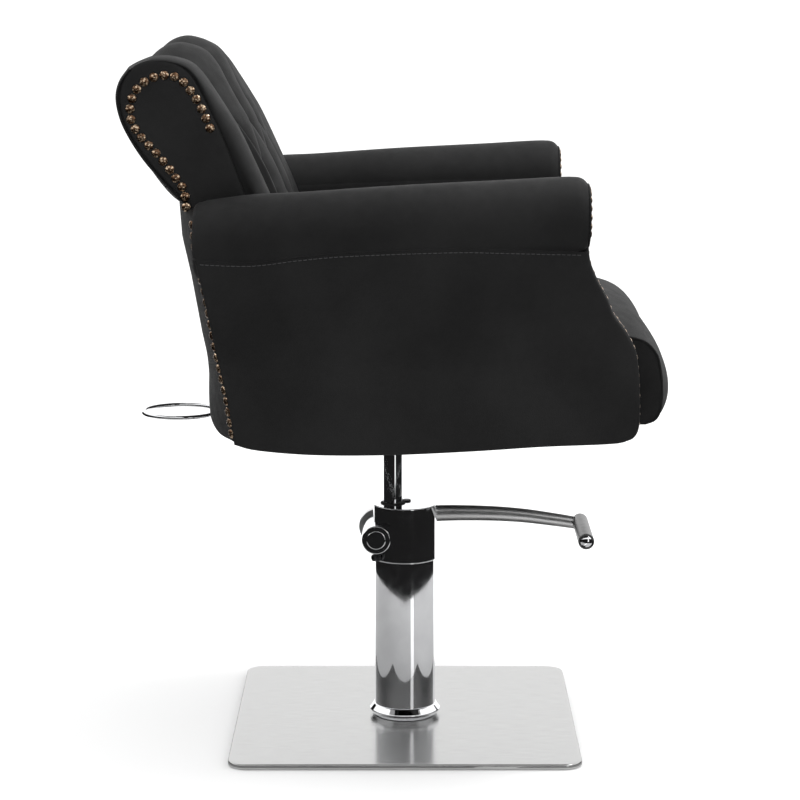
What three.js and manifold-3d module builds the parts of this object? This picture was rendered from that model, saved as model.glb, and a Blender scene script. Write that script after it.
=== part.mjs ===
// Styling chair: an upholstered salon armchair on a hydraulic pump with a foot pedal and a square base.
// Millimetres. +Z is up, the sitter faces -Y and X is the width.
// The origin is on the floor under the column.

import * as THREE from 'three';
import { mergeVertices } from 'three/addons/utils/BufferGeometryUtils.js';
import Module from 'manifold-3d';

const wasm = await Module();
wasm.setup();

// ---------------------------------------------------------------- driving dimensions

const GAP = 0.3;                    // clearance between pieces that touch
const ROUND = 24;                   // sides of a round piece that is seen
const HIDDEN_ROUND = 16;            // sides of a round piece inside the pump

const BASE_SIDE = 450;
const BASE_CORNER = 24;
const BASE_TOP = 7.2;
const COVER_SHEET = 1.2;
const PAD_TOP = 1.5;

const COLUMN_RADIUS = 40.5;
const COLUMN_WALL = 3;
const COLUMN_TOP = 211;
const HEAD_RADIUS = 42.3;
const HEAD_BOTTOM = COLUMN_TOP + GAP;
const HEAD_SHOULDER = 222;           // below this the head is as slim as the column
const HEAD_TOP = 296;

const RAM_Y = 16;                   // the ram stands behind the column's axis
const RAM_RADIUS = 12.75;
const RAM_BORE = 13.25;
const RAM_TOP = 414;
const PISTON_BOTTOM = 100;
const PISTON_TOP = 122.3;
const CYLINDER_BORE = 14.1;
const CYLINDER_RADIUS = 16.6;

const SHAFT_Y = 38;                 // the pedal's cross shaft
const SHAFT_Z = 254;
const SHAFT_RADIUS = 12.7;
const SHAFT_BORE = 13.1;
const SHAFT_NECK = 5.2;
const BOSS_RADIUS = 19;
const BOSS_HALF_LENGTH = 40;

const PLUNGER_X = 24.6;
const PLUNGER_Y = 8;
const BARREL_TOP = 200;
const PLUNGER_CAP_BOTTOM = 244;
const PLUNGER_CAP_TOP = 248.4;

const LEVER_X = 52;
const PEDAL_Y = -237;
const PEDAL_Z = 258;
const PEDAL_RADIUS = 10.5;

const SEAT_BOARD_BOTTOM = 432;
const SEAT_BOARD_TOP = 447;
const ARM_INSIDE = 250;             // half the width between the arms
const ARM_OUTSIDE = 310;
const ROLL_X = 296;
const ROLL_RADIUS = 46;
const BACK_HALF_WIDTH = 249;
const SIDE_PANEL_OUTSIDE = 263;

const RING_RADIUS = 49.25;
const RING_WIRE = 2.75;
const RING_Y = 296;
const RING_Z = 420;

// ---------------------------------------------------------------- materials

const chrome = new THREE.MeshStandardMaterial({ color: 0xd8dadd, roughness: 0.08, metalness: 1 });
const brushedSteel = new THREE.MeshStandardMaterial({ color: 0xc9c9c7, roughness: 0.38, metalness: 1 });
const darkSteel = new THREE.MeshStandardMaterial({ color: 0x4a4c50, roughness: 0.5, metalness: 0.9 });
const rubber = new THREE.MeshStandardMaterial({ color: 0x151515, roughness: 0.9, metalness: 0 });
const wood = new THREE.MeshStandardMaterial({ color: 0xb98d5c, roughness: 0.7, metalness: 0 });
const blackLeather = new THREE.MeshStandardMaterial({ color: 0x1d1d1e, roughness: 0.6, metalness: 0 });
const blackCloth = new THREE.MeshStandardMaterial({ color: 0x121212, roughness: 0.95, metalness: 0 });

const chair = new THREE.Group();

function add(name, geometry, material) {
  const mesh = new THREE.Mesh(geometry, material);
  mesh.name = name;
  chair.add(mesh);
}

// ---------------------------------------------------------------- booleans

function toSolid(geometry) {
  const bare = new THREE.BufferGeometry();
  bare.setAttribute('position', geometry.getAttribute('position'));
  if (geometry.index) bare.setIndex(geometry.index);
  const merged = mergeVertices(bare, 1e-4);
  const mesh = new wasm.Mesh({
    numProp: 3,
    vertProperties: new Float32Array(merged.getAttribute('position').array),
    triVerts: new Uint32Array(merged.index.array),
  });
  return new wasm.Manifold(mesh);
}

function toGeometry(solid) {
  const mesh = solid.getMesh();
  const geometry = new THREE.BufferGeometry();
  geometry.setAttribute('position', new THREE.BufferAttribute(new Float32Array(mesh.vertProperties), 3));
  geometry.setIndex(new THREE.BufferAttribute(new Uint32Array(mesh.triVerts), 1));
  geometry.computeVertexNormals();
  return geometry;
}

function join(...geometries) {
  return toGeometry(geometries.map(toSolid).reduce((whole, part) => whole.add(part)));
}

function cut(body, ...tools) {
  return toGeometry(tools.map(toSolid).reduce((whole, tool) => whole.subtract(tool), toSolid(body)));
}

// ---------------------------------------------------------------- basic shapes

// A turned piece about +Z. The profile is a list of [radius, height] points,
// from the bottom outwards and up.
function turned(profile, sides = ROUND) {
  const points = profile.map(([radius, height]) => new THREE.Vector2(radius, height));
  return new THREE.LatheGeometry(points, sides).rotateX(Math.PI / 2);
}

function disc(radius, bottom, top, sides = ROUND) {
  const height = top - bottom;
  return new THREE.CylinderGeometry(radius, radius, height, sides)
    .rotateX(Math.PI / 2)
    .translate(0, 0, bottom + height / 2);
}

function ring(inner, outer, bottom, top, sides = ROUND) {
  return turned([[inner, bottom], [outer, bottom], [outer, top], [inner, top], [inner, bottom]], sides);
}

// Turns a piece made about +Z so that its axis lies along +X.
function alongX(geometry) {
  return geometry.rotateY(Math.PI / 2);
}

function box(x0, x1, y0, y1, z0, z1) {
  return new THREE.BoxGeometry(x1 - x0, y1 - y0, z1 - z0)
    .translate((x0 + x1) / 2, (y0 + y1) / 2, (z0 + z1) / 2);
}

function roundedSquare(side, corner, bottom, top) {
  const half = side / 2;
  const inner = half - corner;
  const shape = new THREE.Shape();
  shape.absarc(inner, inner, corner, 0, Math.PI / 2);
  shape.absarc(-inner, inner, corner, Math.PI / 2, Math.PI);
  shape.absarc(-inner, -inner, corner, Math.PI, 1.5 * Math.PI);
  shape.absarc(inner, -inner, corner, 1.5 * Math.PI, 2 * Math.PI);
  return new THREE.ExtrudeGeometry(shape, { depth: top - bottom, bevelEnabled: false, curveSegments: 4 })
    .translate(0, 0, bottom);
}

// A side outline drawn in (Y, Z), extruded across the chair from x0 to x1.
function across(shape, x0, x1, steps = 1, curveSegments = 8) {
  const options = { depth: x1 - x0, bevelEnabled: false, steps, curveSegments };
  const geometry = new THREE.ExtrudeGeometry(shape, options);
  const toSide = new THREE.Matrix4().makeBasis(
    new THREE.Vector3(0, 1, 0),
    new THREE.Vector3(0, 0, 1),
    new THREE.Vector3(1, 0, 0),
  );
  return geometry.applyMatrix4(toSide).translate(x0, 0, 0);
}

function polygon(points) {
  return new THREE.Shape(points.map(([y, z]) => new THREE.Vector2(y, z)));
}

// A band of even thickness behind a line of (Y, Z) points that runs upwards.
function band(line, thickness) {
  const spline = new THREE.SplineCurve(line.map(([y, z]) => new THREE.Vector2(y, z)));
  const divisions = line.length + 3;
  const front = [];
  const rear = [];
  for (let i = 0; i <= divisions; i += 1) {
    const point = spline.getPoint(i / divisions);
    const tangent = spline.getTangent(i / divisions);
    front.push([point.x, point.y]);
    rear.unshift([point.x - tangent.y * thickness, point.y + tangent.x * thickness]);
  }
  return polygon([...front, ...rear]);
}

// Bows a piece that runs across the chair: each point moves by bow(y, z),
// least at the sides, most in the middle.
function bowed(geometry, halfWidth, bow) {
  const position = geometry.getAttribute('position');
  for (let i = 0; i < position.count; i += 1) {
    const share = 1 - (position.getX(i) / halfWidth) ** 2;
    const [dy, dz] = bow(position.getY(i), position.getZ(i));
    position.setY(i, position.getY(i) + share * dy);
    position.setZ(i, position.getZ(i) + share * dz);
  }
  return geometry;
}

function mirrored(name, make, material) {
  for (const [suffix, side] of [['right', -1], ['left', 1]]) {
    add(`${name}_${suffix}`, make(side), material);
  }
}

// The stretch from inner to outer on one side of the chair, as rising X values.
function sideSpan(side, inner, outer) {
  return side > 0 ? [inner, outer] : [-outer, -inner];
}

// ---------------------------------------------------------------- base

const PLATE_TOP = BASE_TOP - COVER_SHEET - GAP;
const FOOT_BOTTOM = PLATE_TOP + GAP;
const FOOT_TOP = FOOT_BOTTOM + 9.6;
const FOOT_BOLT_CIRCLE = 28;
const FOOT_BOLT_RADIUS = 4;

function footBoltPlaces() {
  return [45, 135, 225, 315].map((degrees) => {
    const angle = THREE.MathUtils.degToRad(degrees);
    return [FOOT_BOLT_CIRCLE * Math.cos(angle), FOOT_BOLT_CIRCLE * Math.sin(angle)];
  });
}

function floorPad() {
  const recess = footBoltPlaces().map(([x, y]) => disc(8, -1, PAD_TOP + 1, 12).translate(x, y, 0));
  return cut(roundedSquare(BASE_SIDE - 10, BASE_CORNER - 5, 0, PAD_TOP), ...recess);
}

function basePlate() {
  const holes = footBoltPlaces().flatMap(([x, y]) => [
    disc(FOOT_BOLT_RADIUS + 0.4, 0, BASE_TOP, 12).translate(x, y, 0),
    disc(7.5, 0, 4, 12).translate(x, y, 0),
  ]);
  return cut(roundedSquare(BASE_SIDE - 4, BASE_CORNER - 2, PAD_TOP + GAP, PLATE_TOP), ...holes);
}

function baseCover() {
  const shell = roundedSquare(BASE_SIDE, BASE_CORNER, 1, BASE_TOP);
  const insideCorner = BASE_CORNER - COVER_SHEET;
  const inside = roundedSquare(BASE_SIDE - 2 * COVER_SHEET, insideCorner, 0, BASE_TOP - COVER_SHEET);
  return cut(shell, inside, disc(COLUMN_RADIUS + 0.6, 0, 20));
}

function pumpFoot() {
  const sockets = footBoltPlaces()
    .map(([x, y]) => disc(FOOT_BOLT_RADIUS + 0.4, 0, 13.5, 12).translate(x, y, 0));
  return cut(disc(COLUMN_RADIUS, FOOT_BOTTOM, FOOT_TOP), ...sockets);
}

function footBolt(x, y) {
  const profile = [[0, 2.1], [7, 2.1], [7, 3.7], [FOOT_BOLT_RADIUS, 3.7], [FOOT_BOLT_RADIUS, 13], [0, 13]];
  return turned(profile, 12).translate(x, y, 0);
}

function trimRing() {
  const bottom = BASE_TOP + GAP;
  const inner = COLUMN_RADIUS + GAP;
  return turned([
    [inner, bottom], [43.2, bottom], [47, bottom + 6.5], [47.8, bottom + 8], [47, bottom + 9.5],
    [42, bottom + 16], [inner, bottom + 16], [inner, bottom],
  ]);
}

add('floor_pad', floorPad(), rubber);
add('base_plate', basePlate(), darkSteel);
add('base_cover', baseCover(), brushedSteel);
add('pump_foot', pumpFoot(), darkSteel);
footBoltPlaces().forEach(([x, y], i) => add(`foot_bolt_${i + 1}`, footBolt(x, y), darkSteel));
add('trim_ring', trimRing(), chrome);

// ---------------------------------------------------------------- pump

const BLOCK_BOTTOM = FOOT_TOP + GAP;
const POCKET_FLOOR = BLOCK_BOTTOM + 4;
const BARREL_RADIUS = 8;
const BARREL_BORE = 5.1;
const SCREW_ANGLE = THREE.MathUtils.degToRad(127);   // the stop screw points back and to the sitter's right
const SCREW_Z = 228.5;
const SCREW_RADIUS = 3;
const PLUG_X = 12;                                   // the oil plug in the top of the head
const PLUG_Y = -2;

function onRam(geometry) {
  return geometry.translate(0, RAM_Y, 0);
}

function onPlunger(geometry) {
  return geometry.translate(PLUNGER_X, PLUNGER_Y, 0);
}

function onShaft(geometry) {
  return alongX(geometry).translate(0, SHAFT_Y, SHAFT_Z);
}

// Places a piece that was made about +Z so that it stands out of the head along the stop screw's axis.
function onScrew(geometry) {
  return alongX(geometry).rotateZ(SCREW_ANGLE).translate(0, 0, SCREW_Z);
}

function valveBlock() {
  const block = disc(COLUMN_RADIUS - COLUMN_WALL - 0.6, BLOCK_BOTTOM, BLOCK_BOTTOM + 14, HIDDEN_ROUND);
  const cylinderPocket = onRam(disc(CYLINDER_RADIUS + 0.4, POCKET_FLOOR, 60, HIDDEN_ROUND));
  const barrelPocket = onPlunger(disc(BARREL_RADIUS + 0.4, POCKET_FLOOR, 60, HIDDEN_ROUND));
  return cut(block, cylinderPocket, barrelPocket);
}

function workingCylinder() {
  return onRam(ring(CYLINDER_BORE, CYLINDER_RADIUS, POCKET_FLOOR + GAP, COLUMN_TOP - 0.5, HIDDEN_ROUND));
}

function pumpBarrel() {
  return onPlunger(ring(BARREL_BORE, BARREL_RADIUS, POCKET_FLOOR + GAP, BARREL_TOP, HIDDEN_ROUND));
}

// The room in the head that the crank arm and the plunger's spring move in, open to the oil below.
function crankChamber() {
  const room = box(17.2, 31.6, -1, 25, HEAD_BOTTOM - 5, 266);
  const round = onShaft(disc(16.8, 17.2, 31.6, HIDDEN_ROUND));
  return join(room, round);
}

function pumpHead() {
  const bevel = 1.2;
  const barrel = turned([
    [0, HEAD_BOTTOM], [COLUMN_RADIUS, HEAD_BOTTOM], [COLUMN_RADIUS, HEAD_SHOULDER],
    [HEAD_RADIUS - 0.6, HEAD_SHOULDER], [HEAD_RADIUS, HEAD_SHOULDER + 0.6],
    [HEAD_RADIUS, HEAD_TOP - bevel], [HEAD_RADIUS - bevel, HEAD_TOP], [0, HEAD_TOP],
  ]);
  const boss = onShaft(disc(BOSS_RADIUS, -BOSS_HALF_LENGTH, BOSS_HALF_LENGTH));
  const webBottom = SHAFT_Z - BOSS_RADIUS;
  const webTop = SHAFT_Z + BOSS_RADIUS;
  const web = box(-BOSS_HALF_LENGTH, BOSS_HALF_LENGTH, 12, SHAFT_Y, webBottom, webTop);
  return cut(
    join(barrel, boss, web),
    onRam(disc(15.5, HEAD_BOTTOM - 5, HEAD_TOP + 5)),
    crankChamber(),
    onShaft(disc(5.7, -BOSS_HALF_LENGTH - 5, 20, HIDDEN_ROUND)),
    onShaft(disc(SHAFT_BORE, 30, BOSS_HALF_LENGTH + 5)),
    onShaft(disc(SHAFT_BORE, -BOSS_HALF_LENGTH - 5, -26)),
    onScrew(disc(SCREW_RADIUS + GAP, 34, 70, 16)),
    disc(4.4, HEAD_TOP - 8, HEAD_TOP + 5, 20).translate(PLUG_X, PLUG_Y, 0),
  );
}

function oilPlug() {
  const profile = [
    [0, HEAD_TOP - 7], [4, HEAD_TOP - 7], [4, HEAD_TOP + GAP], [6, HEAD_TOP + GAP],
    [5.4, HEAD_TOP + 2], [0, HEAD_TOP + 2],
  ];
  const slot = box(-1, 1, -8, 8, HEAD_TOP + 1.1, HEAD_TOP + 5);
  return cut(turned(profile, 20), slot).translate(PLUG_X, PLUG_Y, 0);
}

function lockNut() {
  const nut = disc(5.8, HEAD_RADIUS + GAP, HEAD_RADIUS + 5.3, 6);
  return onScrew(cut(nut, disc(SCREW_RADIUS + GAP, 30, 60, 16)));
}

function stopScrew() {
  const profile = [[0, 35], [SCREW_RADIUS, 35], [SCREW_RADIUS, 48.5], [4.6, 48.5], [4.6, 53], [0, 53]];
  return onScrew(turned(profile, 16));
}

add('reservoir_tube', ring(COLUMN_RADIUS - COLUMN_WALL, COLUMN_RADIUS, BLOCK_BOTTOM, COLUMN_TOP), chrome);
add('valve_block', valveBlock(), darkSteel);
add('working_cylinder', workingCylinder(), darkSteel);
add('pump_barrel', pumpBarrel(), darkSteel);
add('pump_head', pumpHead(), chrome);
add('guide_bush', onRam(ring(RAM_BORE, 15.2, 214, 288, ROUND)), darkSteel);
add('wiper_seal', onRam(ring(RAM_BORE, 15.2, 288 + GAP, HEAD_TOP + GAP, ROUND)), rubber);
add('oil_plug', oilPlug(), darkSteel);
add('stop_screw', stopScrew(), darkSteel);
add('stop_locknut', lockNut(), darkSteel);

// ---------------------------------------------------------------- pedal and its crank

const HUB_START = BOSS_HALF_LENGTH + 0.6;
const HUB_END = 58;

function crossShaft() {
  return onShaft(turned([
    [0, -30], [SHAFT_NECK, -30], [SHAFT_NECK, 17.6], [SHAFT_RADIUS, 17.6],
    [SHAFT_RADIUS, HUB_END - 1], [SHAFT_RADIUS - 1, HUB_END], [0, HUB_END],
  ]));
}

function shaftCollar() {
  const end = -BOSS_HALF_LENGTH - 0.4;
  const chamfer = [[0, end], [SHAFT_RADIUS - 1, end], [SHAFT_RADIUS, end + 1]];
  const body = turned([...chamfer, [SHAFT_RADIUS, -27], [0, -27]]);
  return onShaft(cut(body, disc(SHAFT_NECK + GAP, -30.5, 0, HIDDEN_ROUND)));
}

function crankArm() {
  const hub = disc(15.4, 19.5, 29.7, HIDDEN_ROUND);
  const nose = disc(5, 19.5, 29.7, 16);
  const arm = box(19.5, 29.7, PLUNGER_Y, SHAFT_Y - 12, SHAFT_Z - 5, SHAFT_Z + 5);
  const blank = join(onShaft(hub), alongX(nose).translate(0, PLUNGER_Y, SHAFT_Z), arm);
  return cut(blank, onShaft(disc(SHAFT_RADIUS + GAP, 0, 40)));
}

// The chromed arm, an oval bar that rises a little from the hub and comes down to the pedal.
function leverArm() {
  const line = new THREE.CatmullRomCurve3([
    [30, 257], [0, 264.5], [-39, 270], [-100, 270.5], [-155, 267.5], [-205, 261], [PEDAL_Y, PEDAL_Z - 2],
  ].map(([y, z]) => new THREE.Vector3(LEVER_X, y, z)));
  const section = new THREE.Shape();
  section.absellipse(0, 0, 6, 10.5, 0, 2 * Math.PI);
  const bar = new THREE.ExtrudeGeometry(section, { steps: 12, curveSegments: 6, extrudePath: line });
  const hub = onShaft(disc(24, HUB_START, HUB_END - 0.5));
  const socket = alongX(disc(14, LEVER_X - 8, LEVER_X + 8, 32)).translate(0, PEDAL_Y, PEDAL_Z);
  const drill = disc(PEDAL_RADIUS + GAP, LEVER_X - 20, LEVER_X + 20, 32);
  const bore = alongX(drill).translate(0, PEDAL_Y, PEDAL_Z);
  return cut(join(bar, hub, socket), onShaft(disc(SHAFT_RADIUS + GAP, 0, 80)), bore);
}

const PEDAL_NEAR = -64;
const PEDAL_FAR = 60;

function onPedal(geometry) {
  return alongX(geometry).translate(0, PEDAL_Y, PEDAL_Z);
}

function pedalBar() {
  return onPedal(turned([
    [0, PEDAL_NEAR + 8], [8.6, PEDAL_NEAR + 8], [8.6, PEDAL_NEAR], [PEDAL_RADIUS, PEDAL_NEAR],
    [PEDAL_RADIUS, PEDAL_FAR - 1], [PEDAL_RADIUS - 1, PEDAL_FAR], [0, PEDAL_FAR],
  ], 32));
}

function pedalPlug() {
  return onPedal(turned([
    [0, PEDAL_NEAR - 2.4], [5, PEDAL_NEAR - 1.4], [8.3, PEDAL_NEAR + 1],
    [8.3, PEDAL_NEAR + 7], [0, PEDAL_NEAR + 7],
  ], 32));
}

add('cross_shaft', crossShaft(), chrome);
add('shaft_collar', shaftCollar(), chrome);
add('crank_arm', crankArm(), darkSteel);
add('lever_arm', leverArm(), chrome);
add('pedal_bar', pedalBar(), chrome);
add('pedal_plug', pedalPlug(), chrome);

// ---------------------------------------------------------------- plunger

function pumpPlunger() {
  return onPlunger(turned([
    [0, 150], [4.6, 150], [4.6, BARREL_TOP - 2], [3.8, BARREL_TOP], [3.8, PLUNGER_CAP_BOTTOM],
    [6.3, PLUNGER_CAP_BOTTOM], [6.3, PLUNGER_CAP_TOP], [0, PLUNGER_CAP_TOP],
  ], HIDDEN_ROUND));
}

const SPRING_TURNS = 6;

class Helix extends THREE.Curve {
  constructor(radius, bottom, top, turns) {
    super();
    Object.assign(this, { radius, bottom, top, turns });
  }

  getPoint(t, target = new THREE.Vector3()) {
    const angle = t * this.turns * 2 * Math.PI;
    const height = this.bottom + t * (this.top - this.bottom);
    return target.set(this.radius * Math.cos(angle), this.radius * Math.sin(angle), height);
  }
}

function plungerSpring() {
  const wire = new THREE.Shape();
  wire.absarc(0, 0, 0.8, 0, 2 * Math.PI);
  const path = new Helix(5.1, BARREL_TOP + 1.3, PLUNGER_CAP_BOTTOM - 1.3, SPRING_TURNS);
  const options = { steps: SPRING_TURNS * 10, curveSegments: 2, extrudePath: path };
  const spring = new THREE.ExtrudeGeometry(wire, options);
  return onPlunger(spring);
}

add('pump_plunger', pumpPlunger(), darkSteel);
add('plunger_spring', plungerSpring(), darkSteel);

// ---------------------------------------------------------------- lift piston and ram

const PISTON_RADIUS = 13.6;

function liftPiston() {
  return onRam(turned([
    [0, PISTON_BOTTOM], [PISTON_RADIUS, PISTON_BOTTOM], [PISTON_RADIUS, 108], [11.5, 108], [11.5, 114],
    [PISTON_RADIUS, 114], [PISTON_RADIUS, PISTON_TOP], [0, PISTON_TOP],
  ], HIDDEN_ROUND));
}

add('lift_piston', liftPiston(), darkSteel);
add('piston_seal', onRam(ring(11.9, 13.7, 108 + GAP, 114 - GAP, HIDDEN_ROUND)), rubber);
add('ram_rod', onRam(disc(RAM_RADIUS, PISTON_TOP + GAP, RAM_TOP)), chrome);

// ---------------------------------------------------------------- seat bracket, board and cushion

const BRACKET_TOP = 428.4;
const BRACKET_HALF = 90;
const SEAT_BOLT_REACH = 68;
const SEAT_BOLT_RADIUS = 3.9;

function seatBoltPlaces() {
  const r = SEAT_BOLT_REACH;
  return [[r, r], [-r, r], [-r, -r], [r, -r]].map(([x, y]) => [x, y + RAM_Y]);
}

function seatBoltHoles(bottom, top) {
  return seatBoltPlaces().map(([x, y]) => disc(SEAT_BOLT_RADIUS + 0.4, bottom, top, 12).translate(x, y, 0));
}

function seatBracket() {
  const plate = roundedSquare(2 * BRACKET_HALF, 14, 422, BRACKET_TOP).translate(0, RAM_Y, 0);
  const socket = onRam(turned([[0, 374], [19, 374], [25, 423], [0, 423]]));
  const bore = onRam(disc(RAM_RADIUS + GAP, 370, RAM_TOP + 1));
  return cut(join(plate, socket), bore, ...seatBoltHoles(400, 440));
}

function seatBolt(x, y) {
  const profile = [
    [0, 415.5], [6.5, 415.5], [6.5, 422 - GAP], [SEAT_BOLT_RADIUS, 422 - GAP],
    [SEAT_BOLT_RADIUS, 443], [0, 443],
  ];
  return turned(profile, 12).translate(x, y, 0);
}

function dustCover() {
  const board = box(-246, 246, -250, 168, BRACKET_TOP + GAP, SEAT_BOARD_BOTTOM - GAP);
  return cut(board, ...seatBoltHoles(400, 440));
}

function seatBoard() {
  const board = box(-246, 246, -268, 168, SEAT_BOARD_BOTTOM, SEAT_BOARD_TOP);
  return cut(board, ...seatBoltHoles(400, 444));
}

// The cushion stands proud of the arms in front, where its nose rolls over the board's edge.
function seatCushion() {
  const outline = new THREE.Shape();
  outline.moveTo(100, SEAT_BOARD_TOP + GAP);
  outline.lineTo(100, 585);
  outline.lineTo(-225, 588);
  outline.bezierCurveTo(-300, 584, -338, 530, -338, 490);
  outline.bezierCurveTo(-338, 462, -332, SEAT_BOARD_TOP + GAP, -310, SEAT_BOARD_TOP + GAP);
  return across(outline, -ARM_INSIDE + 3, ARM_INSIDE - 3, 1, 7);
}

add('seat_bracket', seatBracket(), darkSteel);
seatBoltPlaces().forEach(([x, y], i) => add(`seat_bolt_${i + 1}`, seatBolt(x, y), darkSteel));
add('dust_cover', dustCover(), blackCloth);
add('seat_board', seatBoard(), wood);
add('seat_cushion', seatCushion(), blackLeather);

// ---------------------------------------------------------------- arms

const ROLL_FRONT = -214;
const ROLL_REAR = 246;
const FACING_FRONT = -222;
const FACING_DEPTH = 7.5;
const COVER_THICKNESS = 12;         // padded cover on the back of the chair

// The roll's line runs past both of its ends, so that a wider copy can clear its neighbours.
function rollBlank(side, radius) {
  const line = new THREE.CatmullRomCurve3([
    [ROLL_REAR + 12, 676], [183, 689], [6, 699], [-112, 705], [ROLL_FRONT - 12, 709],
  ].map(([y, z]) => new THREE.Vector3(side * ROLL_X, y, z)));
  const section = new THREE.Shape();
  section.absarc(0, 0, radius, 0, 2 * Math.PI);
  return new THREE.ExtrudeGeometry(section, { steps: 7, curveSegments: 11, extrudePath: line });
}

function armRoll(side) {
  const beyondFront = box(-400, 400, ROLL_FRONT - 60, ROLL_FRONT, 500, 900);
  const beyondRear = box(-400, 400, ROLL_REAR, ROLL_REAR + 60, 500, 900);
  const ends = [beyondFront, beyondRear];
  return cut(rollBlank(side, ROLL_RADIUS), ...ends);
}

function rollSpace(side) {
  return rollBlank(side, ROLL_RADIUS + 0.5);
}

// The arm's front edge, from the roll down to the bottom corner, moved back by inset.
function frontEdge(outline, inset) {
  outline.lineTo(FACING_FRONT + inset, 690);
  outline.lineTo(FACING_FRONT + inset, 658);
  outline.quadraticCurveTo(-276 + inset, 560, -280 + inset, 460);
}

// The arm seen from the side: raked rear edge, slanted front edge and a shallow curved bottom.
function armOutline(frontInset, rearInset) {
  const outline = new THREE.Shape();
  outline.moveTo(206 - rearInset, 434);
  outline.lineTo(246 - rearInset, 677);
  frontEdge(outline, frontInset);
  outline.quadraticCurveTo(-279 + frontInset, 440, -258 + frontInset, 438);
  outline.quadraticCurveTo(30, 412, 206 - rearInset, 434);
  return outline;
}

function armSlab(side, inner, outer) {
  const [x0, x1] = sideSpan(side, inner, outer);
  const slab = across(armOutline(FACING_DEPTH + 0.5, COVER_THICKNESS + 2), x0, x1, 1, 6);
  return cut(slab, rollSpace(side));
}

function armFacing(side) {
  const edge = new THREE.Shape();
  edge.moveTo(FACING_FRONT + FACING_DEPTH, 668);
  frontEdge(edge, 0);
  edge.lineTo(-280 + FACING_DEPTH, 460);
  edge.quadraticCurveTo(-276 + FACING_DEPTH, 560, FACING_FRONT + FACING_DEPTH, 658);
  const [x0, x1] = sideSpan(side, ARM_INSIDE + 1, ARM_OUTSIDE - 1);
  const strip = across(edge, x0, x1, 1, 6);
  const rosette = new THREE.CylinderGeometry(ROLL_RADIUS - 2, ROLL_RADIUS - 2, FACING_DEPTH, 40)
    .translate(side * ROLL_X, FACING_FRONT + FACING_DEPTH / 2, 709);
  return join(strip, rosette);
}

mirrored('arm_roll', armRoll, blackLeather);
mirrored('arm_frame', (side) => armSlab(side, ARM_INSIDE + 18.4, ARM_OUTSIDE - 10.4), wood);
mirrored('side_cover', (side) => armSlab(side, ARM_OUTSIDE - 10, ARM_OUTSIDE), blackLeather);
mirrored('inner_arm_pad', (side) => armSlab(side, ARM_INSIDE, ARM_INSIDE + 18), blackLeather);
mirrored('arm_facing', armFacing, blackLeather);

// ---------------------------------------------------------------- back

const REAR_LINE = [[206, 428], [217, 487], [229, 548], [241, 620], [249, 690]];
const SCROLL_REAR_LINE = [[257, 705], [281, 733], [315, 771], [338, 812], [346, 845], [334, 877], [306, 896]];
const PAD_FRONT_LINE = [
  [106, 520], [112, 570], [128, 640], [150, 715], [175, 775], [198, 824], [222, 868], [250, 893], [292, 901],
];
const PAD_INNER_LINE = PAD_FRONT_LINE.slice(1, -2).map(([y, z]) => [y + 50, z - 10]);

// How far the middle of each cover stands behind, and above, its ends.
const upwards = (z, low, high) => THREE.MathUtils.clamp((z - low) / (high - low), 0, 1);
const rearBow = (y, z) => [52 - 12 * upwards(z, 430, 700), 0];
const scrollBow = (y, z) => [36 - 30 * upwards(z, 700, 880), 9 * upwards(z, 840, 890)];
const padBow = (y, z) => [-8 * upwards(z, 560, 760) + 8 * upwards(z, 840, 900), 12 * upwards(z, 820, 900)];

function rearCover() {
  const strip = across(band(REAR_LINE, COVER_THICKNESS), -ARM_OUTSIDE, ARM_OUTSIDE, 8, 1);
  return cut(bowed(strip, ARM_OUTSIDE, rearBow), rollSpace(1), rollSpace(-1));
}

function scrollCover() {
  const strip = across(band(SCROLL_REAR_LINE, 8), -BACK_HALF_WIDTH, BACK_HALF_WIDTH, 8, 1);
  return bowed(strip, BACK_HALF_WIDTH, scrollBow);
}

function backCushion() {
  const front = new THREE.SplineCurve(PAD_FRONT_LINE.map(([y, z]) => new THREE.Vector2(y, z))).getPoints(18);
  const outline = polygon([
    ...front.map((point) => [point.x, point.y]),
    [300, 886], ...PAD_INNER_LINE.slice().reverse(), [150, 520],
  ]);
  return bowed(across(outline, -BACK_HALF_WIDTH + 1, BACK_HALF_WIDTH - 1, 8, 1), BACK_HALF_WIDTH, padBow);
}

// Plywood panel behind the cushion.
function backPanel() {
  const line = PAD_INNER_LINE.map(([y, z]) => [y + 3, z]);
  return across(band(line.reverse(), 12), -BACK_HALF_WIDTH + 6, BACK_HALF_WIDTH - 6, 1, 1);
}

// The scrolled end of the back, with the top of the arm roll let into it.
function scrollSide(side) {
  const outline = new THREE.Shape();
  outline.moveTo(165, 712);
  outline.lineTo(257, 705);
  outline.lineTo(321, 779);
  outline.bezierCurveTo(352, 822, 356, 866, 318, 890);
  outline.bezierCurveTo(294, 902, 262, 898, 241, 877);
  outline.lineTo(209, 829);
  outline.lineTo(179, 778);
  const [x0, x1] = sideSpan(side, BACK_HALF_WIDTH + 2.5, SIDE_PANEL_OUTSIDE);
  return cut(across(outline, x0, x1, 1, 8), rollSpace(side));
}

add('rear_cover', rearCover(), blackLeather);
add('scroll_cover', scrollCover(), blackLeather);
add('back_panel', backPanel(), wood);
add('back_bottom_rail', box(-240, 240, 170, 190, 428.5, 470), wood);
add('back_top_rail', box(-230, 230, 288, 318, 815, 848), wood);
add('back_cushion', backCushion(), blackLeather);
mirrored('scroll_side', scrollSide, blackLeather);

// ---------------------------------------------------------------- hair-dryer ring

function dryerRing() {
  const loop = new THREE.TorusGeometry(RING_RADIUS, RING_WIRE, 6, 24).translate(0, RING_Y, RING_Z);
  const stem = new THREE.CylinderGeometry(RING_WIRE, RING_WIRE, 62, 8).translate(0, 216, RING_Z);
  return join(loop, stem);
}

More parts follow.
